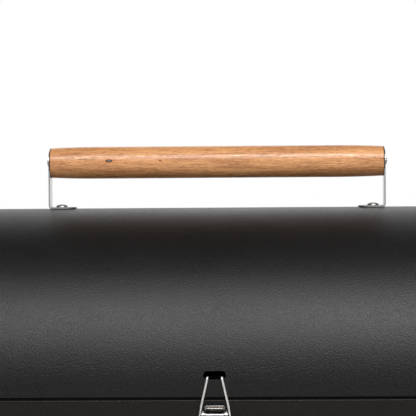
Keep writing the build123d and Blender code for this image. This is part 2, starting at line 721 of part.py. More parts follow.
with BuildPart() as firebox_lid_brackets:
    for side in (-1, 1):
        with BuildSketch(fire_grip_end(side, 0)) as upright:
            with Locations((0, FIRE_GRIP_RISE / 2)):
                Rectangle(20, FIRE_GRIP_RISE)
            with Locations((0, FIRE_GRIP_RISE)):
                Circle(10)
                Circle(2.1, mode=Mode.SUBTRACT)
        extrude(upright.sketch, amount=STRAP, dir=(side, 0, 0))
        foot_x = side * (FIRE_GRIP_LENGTH / 2 - 10)
        with BuildSketch(fire_seat) as foot:
            with Locations((foot_x + side * 5.7, 0)):
                Rectangle(11.6, 20)
            with Locations((foot_x, 0)):
                Circle(10)
                Circle(2.6, mode=Mode.SUBTRACT)
        extrude(foot.sketch, amount=STRAP, dir=fire_seat.z_dir)
save(firebox_lid_brackets, "firebox_lid_brackets")

with BuildPart() as firebox_lid_fasteners:
    for side in (-1, 1):
        end = fire_seat.from_local_coords((side * (FIRE_GRIP_LENGTH / 2 + STRAP), 0, FIRE_GRIP_RISE))
        bolt(Plane(end, x_dir=(0, 1, 0), z_dir=(side, 0, 0)), 4, 2.3, 2, 24)
        foot_place = fire_seat.from_local_coords((side * (FIRE_GRIP_LENGTH / 2 - 10), 0, STRAP))
        with Locations(Plane(foot_place, x_dir=(1, 0, 0), z_dir=fire_seat.z_dir)):
            Cylinder(4.5, 1.6, align=UP)
            Cylinder(2.5, STRAP, align=DOWN)
    for x in FIREBOX_HINGE_XS:
        hinge_pin(x, FIREBOX_HINGE)
save(firebox_lid_fasteners, "firebox_lid_fasteners")

# ---- Draught disc and its pivot on the firebox end ----
DISC_GAP = 0.3
DISC_SHEET = 2.0
with BuildPart() as vent_disc:
    with BuildSketch(across(FIREBOX_END_X + DISC_GAP, VENT_Z)):
        Circle(VENT_R)
        with PolarLocations(VENT_HOLE_CIRCLE, 4):
            Circle(VENT_HOLE_R, mode=Mode.SUBTRACT)
        Circle(3 + RUNNING, mode=Mode.SUBTRACT)
        with Locations((0, 0)):
            with PolarLocations(VENT_R - 8, 1, start_angle=45):
                Circle(2.6, mode=Mode.SUBTRACT)
    extrude(amount=DISC_SHEET)
save(vent_disc, "vent_disc")

with BuildPart() as vent_knob:
    knob_turn = radians(45)
    knob_y, knob_z = (VENT_R - 8) * cos(knob_turn), VENT_Z + (VENT_R - 8) * sin(knob_turn)
    knob_x = FIREBOX_END_X + DISC_GAP + DISC_SHEET
    with Locations(Location((knob_x - DISC_SHEET, knob_y, knob_z), (0, 90, 0))):
        Cylinder(2.5, 10, align=UP)
    with Locations(Location((knob_x, knob_y, knob_z), (0, 90, 0))):
        Cylinder(6, 8, align=UP)
    with Locations(Location((knob_x + 7, knob_y, knob_z), (0, 90, 0))):
        Cylinder(10, 12, align=UP)
    fillet(vent_knob.edges().filter_by(GeomType.CIRCLE).sort_by(Axis.X)[-1:], 4)
save(vent_knob, "vent_knob")

# ---- Ash drawer ----
with BuildPart() as ash_drawer_tray:
    tray_x = FIREBOX_END_X + 1.2 - DRAWER_LENGTH
    with Locations((tray_x, 0, DRAWER_Z)):
        Box(DRAWER_LENGTH, DRAWER_WIDTH, DRAWER_HEIGHT, align=(Align.MIN, Align.CENTER, Align.MIN))
    with Locations((tray_x + 1.5, 0, DRAWER_Z + 1.5)):
        inner = (DRAWER_LENGTH - 3, DRAWER_WIDTH - 3, DRAWER_HEIGHT)
        Box(*inner, align=(Align.MIN, Align.CENTER, Align.MIN), mode=Mode.SUBTRACT)
    with BuildSketch(across(FIREBOX_END_X + 0.5, DRAWER_Z + DRAWER_HEIGHT / 2)):
        RectangleRounded(DRAWER_WIDTH + 17, DRAWER_HEIGHT + 17, 4)
        with Locations((-30, 0), (30, 0)):
            Circle(2.6, mode=Mode.SUBTRACT)
    extrude(amount=2)
save(ash_drawer_tray, "ash_drawer_tray")

DRAWER_FACE_X = FIREBOX_END_X + 2.5
with BuildPart() as ash_drawer_pull:
    pull_z = DRAWER_Z + DRAWER_HEIGHT / 2
    pull_reach = RIGHT_REACH - 4
    with BuildLine() as pull_route:
        FilletPolyline(
            (DRAWER_FACE_X - 0.9, -30, pull_z),
            (pull_reach, -30, pull_z),
            (pull_reach, 30, pull_z),
            (DRAWER_FACE_X - 0.9, 30, pull_z),
            radius=9,
        )
    with BuildSketch(Plane(origin=pull_route.line @ 0, z_dir=pull_route.line % 0)):
        Circle(2.5)
    sweep()
    with Locations(*[Location((DRAWER_FACE_X, y, pull_z), (0, 90, 0)) for y in (-30, 30)]):
        Cylinder(5, 2, align=UP)
save(ash_drawer_pull, "ash_drawer_pull")

# ---- Chimney ----
ELBOW_BEND_R = 52.0
PIPE_R = CHIMNEY_R + 2
PIPE_BOTTOM = CHIMNEY_Z + 75
with BuildPart() as chimney_elbow:
    with BuildSketch(across(-CHAMBER_END_X, CHIMNEY_Z)):
        RectangleRounded(90, 90, 8)
        Circle(CHIMNEY_R - 2, mode=Mode.SUBTRACT)
        with Locations([(y, z - CHIMNEY_Z) for y, z in ELBOW_BOLTS]):
            Circle(3.2, mode=Mode.SUBTRACT)
    extrude(amount=-2)
    with BuildLine() as elbow_route:
        FilletPolyline(
            (-CHAMBER_END_X - 1, 0, CHIMNEY_Z),
            (CHIMNEY_X, 0, CHIMNEY_Z),
            (CHIMNEY_X, 0, PIPE_BOTTOM + 40),
            radius=ELBOW_BEND_R,
        )
    with BuildSketch(Plane(origin=elbow_route.line @ 0, z_dir=elbow_route.line % 0)):
        Circle(CHIMNEY_R)
        Circle(CHIMNEY_R - 1.5, mode=Mode.SUBTRACT)
    sweep()
save(chimney_elbow, "chimney_elbow")

CAP_PIVOT_Y = PIPE_R + 9
with BuildPart() as chimney_pipe:
    with BuildSketch(Plane.XY.offset(PIPE_BOTTOM)):
        with Locations((CHIMNEY_X, 0)):
            Circle(PIPE_R)
            Circle(CHIMNEY_R + FIT, mode=Mode.SUBTRACT)
    extrude(amount=CHIMNEY_TOP - PIPE_BOTTOM)
    with Locations((CHIMNEY_X, CAP_PIVOT_Y, CHIMNEY_TOP - 20)):
        Cylinder(7, 20, align=UP)
    with Locations((CHIMNEY_X, CAP_PIVOT_Y - 9, CHIMNEY_TOP - 20)):
        Box(6, 8, 18, align=UP)
    with Locations((CHIMNEY_X, CAP_PIVOT_Y, CHIMNEY_TOP)):
        Cylinder(3, 6, align=UP)
    with Locations((CHIMNEY_X, CAP_PIVOT_Y, CHIMNEY_TOP + 3)):
        Cylinder(5, 3, align=UP)
save(chimney_pipe, "chimney_pipe")

with BuildPart() as chimney_cap:
    with BuildSketch(Plane.XY.offset(CHIMNEY_TOP + GAP)):
        with Locations((CHIMNEY_X, 0)):
            Circle(PIPE_R + 5)
        with Locations((CHIMNEY_X, CAP_PIVOT_Y)):
            Circle(8)
        with Locations((CHIMNEY_X, CAP_PIVOT_Y - 6)):
            Rectangle(16, 12)
        with Locations((CHIMNEY_X, CAP_PIVOT_Y)):
            Circle(3 + RUNNING, mode=Mode.SUBTRACT)
    extrude(amount=2.2)
    with BuildSketch(Plane.XY.offset(CHIMNEY_TOP + GAP + 2.2)):
        with Locations((CHIMNEY_X, -PIPE_R - 10)):
            Rectangle(14, 16)
    extrude(amount=-2.2)
save(chimney_cap, "chimney_cap")

# ---- Stand ----
STRAP_OUT_R = CHAMBER_R + FIT + 3
with BuildPart() as cradles:
    for x in (-LEG_X, LEG_X):
        curved_sheet(x - STRAP_BAND / 2, STRAP_BAND, CHAMBER_R + FIT, STRAP_OUT_R, -155, -25)
        for angle in CRADLE_BOLT_ANGLES:
            drill(on_barrel(x, angle, CHAMBER_R + 5), 3.2)
save(cradles, "cradles")

AXLE_Z = WHEEL_R


def leg_pair(x, bottom):
    """Add two square tube legs, coped to the cradle at the top."""
    with BuildSketch(Plane.XY.offset(bottom)) as tubes:
        for y in (-LEG_Y, LEG_Y):
            with Locations((x, y)):
                RectangleRounded(LEG, LEG, 3)
                RectangleRounded(LEG - 3, LEG - 3, 1.5, mode=Mode.SUBTRACT)
    extrude(tubes.sketch, amount=AXIS_Z - 60 - bottom, dir=(0, 0, 1))
    with Locations(Location((x, 0, AXIS_Z), (0, 90, 0))):
        Cylinder(STRAP_OUT_R + FIT, LEG + 10, mode=Mode.SUBTRACT)


with BuildPart() as legs_left:
    leg_pair(-LEG_X, AXLE_Z - 22)
    with Locations(Location((-LEG_X, 0, AXLE_Z), (90, 0, 0))):
        Cylinder(AXLE_R + FIT, 2 * LEG_Y + 2 * LEG, mode=Mode.SUBTRACT)
save(legs_left, "legs_left")

with BuildPart() as legs_right:
    leg_pair(LEG_X, 6)
save(legs_right, "legs_right")

with BuildPart() as foot_caps:
    for y in (-LEG_Y, LEG_Y):
        with BuildSketch():
            with Locations((LEG_X, y)):
                RectangleRounded(LEG + 5, LEG + 5, 5)
        extrude(amount=30)
        with BuildSketch(Plane.XY.offset(5.9)):
            with Locations((LEG_X, y)):
                RectangleRounded(LEG + 0.2, LEG + 0.2, 3)
        extrude(amount=30, mode=Mode.SUBTRACT)
save(foot_caps, "foot_caps")

with BuildPart() as axle:
    with Locations(Location((-LEG_X, 0, AXLE_Z), (90, 0, 0))):
        Cylinder(AXLE_R, 2 * (WHEEL_Y + WHEEL_WIDTH / 2 + 6))
    for side in (-1, 1):
        cap_y = side * (WHEEL_Y + WHEEL_WIDTH / 2 + 4)
        with Locations(Location((-LEG_X, cap_y, AXLE_Z), (90, 0, 0))):
            Cylinder(AXLE_R + 5, 6)
save(axle, "axle")


def wheel(side):
    """Write one wheel: a moulded hub with round holes in its web, and its tyre."""
    hub_place = Plane(origin=(-LEG_X, side * WHEEL_Y, AXLE_Z), x_dir=(1, 0, 0), z_dir=(0, 1, 0))
    name = "front" if side < 0 else "back"
    with BuildPart(hub_place) as hub:
        Cylinder(62, 28)
        Cylinder(56, 28, mode=Mode.SUBTRACT)
        Cylinder(57, 6)
        Cylinder(17, WHEEL_WIDTH)
        with PolarLocations(36, 6):
            Cylinder(12, 10, mode=Mode.SUBTRACT)
        Cylinder(AXLE_R + RUNNING, WHEEL_WIDTH + 2, mode=Mode.SUBTRACT)
    save(hub, f"wheel_{name}_hub")
    with BuildPart(hub_place) as tyre:
        Cylinder(WHEEL_R, WHEEL_WIDTH)
        fillet(tyre.edges().filter_by(GeomType.CIRCLE), 7)
        Cylinder(62 + FIT, WHEEL_WIDTH, mode=Mode.SUBTRACT)
    save(tyre, f"wheel_{name}_tyre")


for side in (-1, 1):
    wheel(side)

BAR = 20.0
with BuildPart() as stand_bars:
    for y in (-LEG_Y, LEG_Y):
        with Locations((0, y, RAIL_Z)):
            Box(2 * LEG_X - LEG, BAR, BAR, align=UP)
    for x in (-LEG_X, LEG_X):
        with Locations((x, 0, RAIL_Z)):
            Box(BAR, 2 * LEG_Y - LEG, BAR, align=UP)
save(stand_bars, "stand_bars")

with BuildPart() as bottom_shelf:
    shelf_top = RAIL_Z + BAR + 10
    for index in range(9):
        with Locations((0, (index - 4) * 32.0, shelf_top)):
            Box(2 * LEG_X - LEG - 12, 5, 5, align=DOWN)
    for x in (-200, 0, 200):
        with Locations((x, 0, shelf_top - 5)):
            Box(6, 2 * LEG_Y, 5, align=DOWN)
save(bottom_shelf, "bottom_shelf")

slat_ys = [SHELF_Y - SLAT_WIDTH / 2 - index * (SLAT_WIDTH + SLAT_GAP) for index in range(3)]
with BuildPart() as front_shelf_slats:
    for y in slat_ys:
        with Locations((0, y, SHELF_Z)):
            Box(SLAT_LENGTH, SLAT_WIDTH, SLAT_THICKNESS, align=DOWN)
    fillet(front_shelf_slats.edges().filter_by(Axis.X), 3)
save(front_shelf_slats, "front_shelf_slats")

with BuildPart() as front_shelf_brackets:
    under = SHELF_Z - SLAT_THICKNESS
    leg_face = -LEG_Y - LEG / 2
    for x in (-LEG_X, LEG_X):
        with BuildSketch(Plane(origin=(x - 1.5, 0, 0), x_dir=(0, 1, 0), z_dir=(1, 0, 0))) as web:
            with BuildLine():
                Polyline(
                    (leg_face, under),
                    (FRONT_REACH + 20, under),
                    (FRONT_REACH + 20, under - 14),
                    (leg_face, under - 150),
                    (leg_face, under),
                )
            make_face()
            with BuildLine():
                Polyline(
                    (leg_face - 18, under - 16),
                    (FRONT_REACH + 62, under - 16),
                    (leg_face - 18, under - 116),
                    (leg_face - 18, under - 16),
                )
            make_face(mode=Mode.SUBTRACT)
        extrude(web.sketch, amount=3, dir=(1, 0, 0))
        with Locations((x, (leg_face + FRONT_REACH + 20) / 2, under)):
            Box(LEG, abs(FRONT_REACH + 20 - leg_face), 2.5, align=DOWN)
        with Locations((x, leg_face - 1.25, under - 75)):
            Box(LEG, 2.5, 150)
save(front_shelf_brackets, "front_shelf_brackets")

# ---- Fasteners of the body and stand ----
with BuildPart() as frame_bolts:
    for x in (-LEG_X, LEG_X):
        for angle in CRADLE_BOLT_ANGLES:
            bolt(on_barrel(x, angle, STRAP_OUT_R + 0.1), 6, 3, 3, 12)
    for x in (-LEG_X, LEG_X):
        for z in (SHELF_Z - SLAT_THICKNESS - 40, SHELF_Z - SLAT_THICKNESS - 110):
            for offset in (-7, 7):
                place = Plane((x + offset, -LEG_Y - LEG / 2 - 2.5, z), x_dir=(1, 0, 0), z_dir=(0, -1, 0))
                with Locations(place):
                    Cylinder(4, 2.4, align=UP)
    for y, z in ELBOW_BOLTS:
        bolt(Plane((-CHAMBER_END_X - 2, y, z), x_dir=(0, 1, 0), z_dir=(-1, 0, 0)), 5.5, 3, 3, 10)
    for y, z in GASKET_BOLTS:
        bolt(Plane((CHAMBER_END_X - SHEET, y, z), x_dir=(0, 1, 0), z_dir=(-1, 0, 0)), 5.5, 3, 3, 12)
    vent_front_x = FIREBOX_END_X + DISC_GAP + DISC_SHEET + 0.3
    with Locations(Location((FIREBOX_END_X - 4, 0, VENT_Z), (0, 90, 0))):
        Cylinder(3, 10, align=UP)
    with Locations(Location((vent_front_x, 0, VENT_Z), (0, 90, 0))):
        Cylinder(7, 3.4, align=UP)
    with Locations(Location((FIREBOX_END_X - FIREBOX_SHEET - 3, 0, VENT_Z), (0, 90, 0))):
        Cylinder(6, 3, align=UP)
save(frame_bolts, "frame_bolts")
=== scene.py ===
"""Finishes of an offset smoker, and its small turned, bent and moulded pieces.

Everything is in metres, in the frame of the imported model. X runs along the barrel, -Y is the front, +Z is up.
"""

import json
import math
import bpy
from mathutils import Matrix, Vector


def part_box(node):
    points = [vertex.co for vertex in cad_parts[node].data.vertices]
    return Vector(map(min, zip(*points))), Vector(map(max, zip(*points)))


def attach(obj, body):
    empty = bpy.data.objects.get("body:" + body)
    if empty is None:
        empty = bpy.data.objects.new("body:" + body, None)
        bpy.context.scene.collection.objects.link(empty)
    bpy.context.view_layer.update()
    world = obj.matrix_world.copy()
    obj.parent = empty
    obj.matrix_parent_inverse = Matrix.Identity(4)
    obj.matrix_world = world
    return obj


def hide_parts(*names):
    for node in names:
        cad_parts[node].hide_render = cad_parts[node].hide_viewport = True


bl_info = {
    "name": "Offset Smoker Finishes",
    "version": (1, 0, 0),
    "blender": (4, 5, 0),
    "location": "View3D > Sidebar > Smoker",
    "description": "Makes the finishes, fittings and studio of an offset smoker",
    "category": "Object",
}

import bmesh
import bpy
from bpy.props import FloatProperty, FloatVectorProperty, IntProperty, PointerProperty
from mathutils import Matrix, Vector

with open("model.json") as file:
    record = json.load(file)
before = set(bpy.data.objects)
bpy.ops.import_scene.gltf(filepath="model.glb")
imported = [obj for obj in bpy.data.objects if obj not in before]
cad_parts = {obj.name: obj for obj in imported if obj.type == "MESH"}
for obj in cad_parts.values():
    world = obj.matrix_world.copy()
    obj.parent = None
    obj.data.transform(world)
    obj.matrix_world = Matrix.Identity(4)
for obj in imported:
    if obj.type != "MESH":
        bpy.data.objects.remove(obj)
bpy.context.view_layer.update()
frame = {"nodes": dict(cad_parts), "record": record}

MM = 0.001


def centre(node):
    """The middle of a node's box."""
    low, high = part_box(node)
    return (low + high) / 2


# Places read from the frame
WALL_LOW, WALL_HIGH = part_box("lid_wall")
BARREL_R = (WALL_HIGH.y - WALL_LOW.y) / 2
BARREL = Vector((centre("lid_wall").x, centre("lid_wall").y, WALL_HIGH.z - BARREL_R))
GRIP_LOW, GRIP_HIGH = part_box("lid_handle_grip")
GRIP = centre("lid_handle_grip")
GRIP_R = (GRIP_HIGH.z - GRIP_LOW.z) / 2
FIREBOX_LOW, FIREBOX_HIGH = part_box("firebox_shell")
FIREBOX = centre("firebox_shell")
FIREBOX_R = (FIREBOX_HIGH.z - FIREBOX_LOW.z) / 2


# ---- settings

class SmokerFinishes(bpy.types.PropertyGroup):
    """Colours and surface sizes that a user may change."""

    paint_colour: FloatVectorProperty(
        name="Paint", description="Matt black coat", subtype="COLOR", size=3, default=(0.0026, 0.0026, 0.0026)
    )
    paint_roughness: FloatProperty(name="Paint roughness", description="Sheen of the coat", default=0.385)
    peel_size: FloatProperty(
        name="Peel size", description="Width of the coat's ripples", default=1.05 * MM, unit="LENGTH"
    )
    timber_light: FloatVectorProperty(
        name="Timber, light", description="Early wood under varnish", subtype="COLOR", size=3,
        default=(0.69, 0.340, 0.140),
    )
    timber_dark: FloatVectorProperty(
        name="Timber, dark", description="Late wood under varnish", subtype="COLOR", size=3,
        default=(0.37, 0.150, 0.055),
    )
    zinc_colour: FloatVectorProperty(
        name="Zinc", description="Zinc plated steel", subtype="COLOR", size=3, default=(0.50, 0.497, 0.49)
    )


class SmokerFittings(bpy.types.PropertyGroup):
    """Sizes of the small fittings."""

    strap_thickness: FloatProperty(
        name="Strap", description="Handle strap", default=1.5 * MM, unit="LENGTH"
    )
    hem_radius: FloatProperty(
        name="Hem", description="Rolled edge of the barrel", default=0.8 * MM, unit="LENGTH"
    )
    tread_count: IntProperty(name="Tread blocks", description="Blocks round each tyre", default=44)
    rivet_radius: FloatProperty(
        name="Rivet", description="Hinge rivet head", default=3.4 * MM, unit="LENGTH"
    )


class SmokerStudio(bpy.types.PropertyGroup):
    """Camera and light."""

    lens: FloatProperty(name="Lens", description="Focal length in millimetres", default=175.5)
    camera_distance: FloatProperty(
        name="Distance", description="From the barrel's axis", default=2.1, unit="LENGTH"
    )
    camera_height: FloatProperty(
        name="Elevation", description="Above the barrel's axis", default=math.radians(6.65), subtype="ANGLE"
    )
    key_power: FloatProperty(name="Key", description="Front softbox, watts", default=92.0)
    rim_power: FloatProperty(name="Rim", description="Bright panel behind, watts", default=34.0)
    spark_power: FloatProperty(name="Spark", description="Small bright panel in front, watts", default=6.0)
    fill: FloatProperty(name="Fill", description="Level of the studio's walls", default=0.11)


# ---- nodes and shader arithmetic

def feed(tree, socket, value):
    """Link a socket to an output, or set it to a constant."""
    if isinstance(value, Value):
        value = value.socket
    if isinstance(value, bpy.types.NodeSocket):
        tree.links.new(value, socket)
    else:
        socket.default_value = value


def add_node(tree, kind, settings=None, by_number=None, **by_name):
    """Add a node: its settings first, then the values or links of its sockets, by number or by name."""
    node = tree.nodes.new(kind)
    for key, value in (settings or {}).items():
        setattr(node, key, value)
    for number, value in (by_number or {}).items():
        feed(tree, node.inputs[number], value)
    for key, value in by_name.items():
        feed(tree, node.inputs[key.replace("_", " ")], value)
    return node


class Value:
    """A number in a shader tree that takes Python arithmetic."""

    def __init__(self, tree, socket):
        self.tree = tree
        self.socket = socket

    def _math(self, operation, first, second, clamp=False):
        settings = {"operation": operation, "use_clamp": clamp}
        node = add_node(self.tree, "ShaderNodeMath", settings, {0: first, 1: second})
        return Value(self.tree, node.outputs[0])

    def __add__(self, other):
        return self._math("ADD", self, other)

    __radd__ = __add__

    def __sub__(self, other):
        return self._math("SUBTRACT", self, other)

    def __rsub__(self, other):
        return self._math("SUBTRACT", other, self)

    def __mul__(self, other):
        return self._math("MULTIPLY", self, other)

    __rmul__ = __mul__

    def clamped(self):
        return self._math("ADD", self, 0.0, clamp=True)

    def step(self, low, high):
        """0 below low, 1 above high and smooth between; low may be the larger, which turns it round."""
        rising = high > low
        node = add_node(self.tree, "ShaderNodeMapRange", {"interpolation_type": "SMOOTHSTEP"}, Value=self)
        node.inputs["From Min"].default_value = min(low, high)
        node.inputs["From Max"].default_value = max(low, high)
        node.inputs["To Min"].default_value = 0.0 if rising else 1.0
        node.inputs["To Max"].default_value = 1.0 if rising else 0.0
        return Value(self.tree, node.outputs["Result"])


class Finish:
    """A material under construction, round one Principled shader."""

    def __init__(self, name, **constants):
        self.material = bpy.data.materials.new(name)
        self.material.use_nodes = True
        self.tree = self.material.node_tree
        self.shader = self.tree.nodes["Principled BSDF"]
        self.coordinates = self.node("ShaderNodeTexCoord").outputs["Object"]
        self.surface(**constants)

    def node(self, kind, settings=None, by_number=None, **by_name):
        return add_node(self.tree, kind, settings, by_number, **by_name)

    def surface(self, **inputs):
        """Set or link the shader's own sockets."""
        for key, value in inputs.items():
            feed(self.tree, self.shader.inputs[key.replace("_", " ")], value)

    def stretched(self, scale, location=(0, 0, 0)):
        """Object coordinates, scaled and moved."""
        mapping = self.node("ShaderNodeMapping", Vector=self.coordinates, Scale=scale, Location=location)
        return mapping.outputs["Vector"]

    def noise(self, scale, detail=3.0, roughness=0.5, vector=None, distortion=0.0):
        node = self.node(
            "ShaderNodeTexNoise",
            Vector=vector or self.coordinates,
            Scale=scale,
            Detail=detail,
            Roughness=roughness,
            Distortion=distortion,
        )
        return Value(self.tree, node.outputs["Fac"])

    def cells(self, scale):
        node = self.node("ShaderNodeTexVoronoi", Vector=self.coordinates, Scale=scale)
        return Value(self.tree, node.outputs["Distance"])

    def wave(self, scale, settings, **more):
        node = self.node("ShaderNodeTexWave", settings, Scale=scale, **more)
        return Value(self.tree, node.outputs["Fac"])

    def distance(self, place, scale):
        """Distance from a place, counted in widths given for each axis."""
        kind = "ShaderNodeVectorMath"
        offset = self.node(kind, {"operation": "SUBTRACT"}, {0: self.coordinates, 1: place})
        sized = self.node(kind, {"operation": "DIVIDE"}, {0: offset.outputs[0], 1: scale})
        length = self.node(kind, {"operation": "LENGTH"}, {0: sized.outputs[0]})
        return Value(self.tree, length.outputs["Value"])

    def blend(self, low, high, mask):
        """A colour between two colours or colour outputs."""
        colours = [item if isinstance(item, bpy.types.NodeSocket) else (*item, 1.0) for item in (low, high)]
        mix = self.node("ShaderNodeMix", {"data_type": "RGBA"}, {0: mask, 6: colours[0], 7: colours[1]})
        return mix.outputs[2]

    def bump(self, height, distance, strength=1.0):
        node = self.node("ShaderNodeBump", Strength=strength, Distance=distance, Height=height)
        self.surface(Normal=node.outputs["Normal"])


def tinted(colour, share, lift=0.0):
    """A colour times a share, plus a lift, at most 1."""
    return tuple(min(c * share + lift, 1.0) for c in colour)


# ---- finishes

def black_coat(settings):
    """Matt black stove coat: fine ripples, faint mottling and a little dust on what faces up."""
    coat = Finish("black_coat", Specular_IOR_Level=0.33)
    peel = coat.noise(1 / settings.peel_size, detail=2.0, roughness=0.45)
    grit = coat.noise(0.35 / settings.peel_size, detail=3.0)
    cloud = coat.noise(9.0, detail=4.0, roughness=0.6)
    normal = coat.node("ShaderNodeNewGeometry").outputs["Normal"]
    split = coat.node("ShaderNodeSeparateXYZ", Vector=normal)
    upward = Value(coat.tree, split.outputs["Z"]).step(0.2, 1.0)
    dust = (cloud * upward * 0.35).clamped()
    paint = tuple(settings.paint_colour)
    sheen = settings.paint_roughness + (cloud - 0.5) * 0.10 + (peel - 0.5) * 0.30
    coat.surface(Base_Color=coat.blend(paint, tinted(paint, 2.0, 0.003), dust + grit * 0.12),
                 Roughness=sheen.clamped())
    coat.bump(peel * 0.9 + grit * 0.15, distance=0.42 * MM)
    return coat.material


def timber(settings, name, along, across, knots, coat_weight):
    """Varnished timber whose grain runs along X, with pores, streaks and pin knots."""
    wood = Finish(name, Coat_Roughness=0.08, Coat_IOR=1.45, Specular_IOR_Level=0.4)

    def fibres(along_times, across_times, detail, roughness=0.5, distortion=0.0):
        scale = (along * along_times, across * across_times, across * across_times)
        return wood.noise(1.0, detail, roughness, wood.stretched(scale), distortion)

    sway = wood.noise(7.0, detail=2.0)
    bands = fibres(1, 1, 5.0, 0.62, 0.6)
    streaks = fibres(4, 6, 4.0, 0.7)
    pores = fibres(12, 10, 2.0).step(0.56, 0.68)
    fibre = fibres(22, 12, 3.0, 0.75)
    figure = (bands - 0.40) * 2.2 + (streaks - 0.5) * 2.2 + (fibre - 0.5) * 2.4 + (sway - 0.5) * 0.5 + 0.26
    light, dark = tuple(settings.timber_light), tuple(settings.timber_dark)
    halo_colour = (light[0] * 0.80, light[1] * 0.58, light[2] * 0.45)
    dry_heart = (0.30, 0.26, 0.23)
    colour = wood.blend(dark, light, figure.clamped())
    colour = wood.blend(colour, tinted(dark, 0.38), pores * 0.5)
    for place, size in knots:
        reach = wood.distance(place, size) + (streaks - 0.5) * 0.35
        colour = wood.blend(colour, halo_colour, reach.step(2.6, 1.0) * 0.55)
        colour = wood.blend(colour, tinted(dark, 0.12), reach.step(1.1, 0.7))
        colour = wood.blend(colour, dry_heart, reach.step(0.5, 0.2) * 0.6)
    varnish = coat_weight * 0.5 + fibre.step(0.44, 0.58) * coat_weight
    sheen = 0.42 + (streaks - 0.5) * 0.25 + pores * 0.2
    wood.surface(Base_Color=colour, Roughness=sheen.clamped(), Coat_Weight=varnish.clamped())
    wood.bump(streaks * 0.8 - pores, distance=0.09 * MM, strength=0.7)
    return wood.material


def end_grain(settings):
    """Sawn timber end, kept near black: end grain darkened further as painted shade, with rings round a heart
    off the bar's middle and dark open pores.
    """
    wood = Finish("end_grain", Roughness=0.7)
    heart = wood.stretched((1.0, 1.0, 1.0), (-GRIP.x, -GRIP.y - 6 * MM, -GRIP.z + 5 * MM))
    rings = wood.wave(240.0, {"wave_type": "RINGS", "rings_direction": "X"}, Vector=heart, Distortion=1.5,
                      Detail_Scale=2.0)
    pores = wood.noise(1500.0, detail=2.0).step(0.58, 0.72)
    dark = tuple(settings.timber_dark)
    wood.surface(Base_Color=wood.blend(tinted(dark, 0.10), tinted(dark, 0.30), rings * 0.8 - pores * 0.4))
    wood.bump(rings - pores * 0.6, distance=0.08 * MM, strength=0.6)
    return wood.material


def plated_steel(name, colour, roughness=0.34, grain=(1.0, 1.0, 1.0), stain=0.25, shade_radius=0.0):
    """Zinc or nickel plate with faint dull stains, painted black as shade within a radius of the barrel's axis.
    """
    steel = Finish(name, Metallic=1.0)
    spangle = steel.cells(260.0)
    lines = steel.noise(1.0, detail=3.0, vector=steel.stretched(tuple(1400.0 * g for g in grain)))
    cloud = steel.noise(60.0, detail=4.0, roughness=0.6)
    dull = cloud.step(0.52, 0.80) * stain
    bright = (spangle * 0.25 + lines * 0.3 + cloud * 0.3).clamped()
    shade = steel.blend(tinted(colour, 0.86), tinted(colour, 1.12), bright)
    shade = steel.blend(shade, tinted(colour, 0.62), dull)
    sheen = roughness + (lines - 0.5) * 0.16 + dull * 0.5
    if shade_radius:
        any_length = 1000.0
        # Within the radius, inside the barrel, the colour is painted black as shade.
        smoked = steel.distance(BARREL, (any_length, shade_radius, shade_radius)).step(1.002, 0.996)
        shade = steel.blend(shade, (0.004, 0.004, 0.004), smoked)
        sheen = sheen + smoked * 0.5
    steel.surface(Base_Color=shade, Roughness=sheen.clamped())
    steel.bump(lines * 0.6 + spangle * 0.4, distance=0.02 * MM, strength=0.4)
    return steel.material


def bare_iron(colour):
    """Heat-darkened iron with a dry oil film and grey ash in its hollows."""
    bars = Finish("bare_iron", Metallic=0.6)
    skin = bars.noise(420.0, detail=4.0, roughness=0.65)
    ash = bars.noise(38.0, detail=4.0).step(0.52, 0.72)
    base = bars.blend(colour, tinted(colour, 0.45), skin)
    sheen = 0.55 + (skin - 0.5) * 0.4 + ash * 0.2
    bars.surface(Base_Color=bars.blend(base, (0.17, 0.16, 0.15), ash * 0.5), Roughness=sheen.clamped())
    bars.bump(skin, distance=0.12 * MM, strength=0.7)
    return bars.material


def moulded(name, colour, roughness=0.5, grain=1500.0, depth=0.04 * MM):
    """Moulded plastic or rubber with a fine even texture and scuffs, and the near-black painted shade in the
    seam's gap.
    """
    plastic = Finish(name, Specular_IOR_Level=0.45)
    texture = plastic.cells(grain)
    scuffs = plastic.noise(70.0, detail=5.0, roughness=0.7).step(0.56, 0.74)
    sheen = roughness + scuffs * 0.18 + (texture - 0.5) * 0.08
    plastic.surface(Base_Color=plastic.blend(colour, tinted(colour, 1.9, 0.01), scuffs * 0.4),
                    Roughness=sheen.clamped())
    plastic.bump(texture, distance=depth, strength=0.5)
    return plastic.material


def woven_gasket():
    """Woven glass-fibre tape, greyed by smoke."""
    tape = Finish("woven_gasket", Roughness=0.95)
    across = tape.wave(210.0, {"bands_direction": "Y"}, Vector=tape.coordinates)
    upward = tape.wave(210.0, {"bands_direction": "Z"}, Vector=tape.coordinates)
    weave = across * 0.5 + upward * 0.5
    smoke = tape.noise(30.0, detail=4.0)
    tape.surface(Base_Color=tape.blend((0.10, 0.09, 0.08), (0.42, 0.40, 0.35), weave * 0.6 + smoke * 0.4))
    tape.bump(weave, distance=0.3 * MM)
    return tape.material


def gauge_paint(name, colour, roughness=0.45):
    """Printed enamel with a faint tooth."""
    enamel = Finish(name)
    tooth = enamel.noise(1800.0, detail=2.0)
    sheen = roughness + (tooth - 0.5) * 0.2
    enamel.surface(Base_Color=enamel.blend(tinted(colour, 0.92), colour, tooth), Roughness=sheen.clamped())
    enamel.bump(tooth, distance=0.01 * MM, strength=0.4)
    return enamel.material


def clear_glass():
    """Thin gauge glass with a light film of dust."""
    glass = Finish("gauge_glass", IOR=1.5)
    film = glass.noise(40.0, detail=5.0, roughness=0.7)
    glass.surface(Base_Color=glass.blend((0.85, 0.9, 0.9), (0.7, 0.7, 0.68), film),
                  Roughness=(0.04 + film * 0.08).clamped(), Alpha=(0.10 + film * 0.10).clamped())
    return glass.material


FINISHES = {}


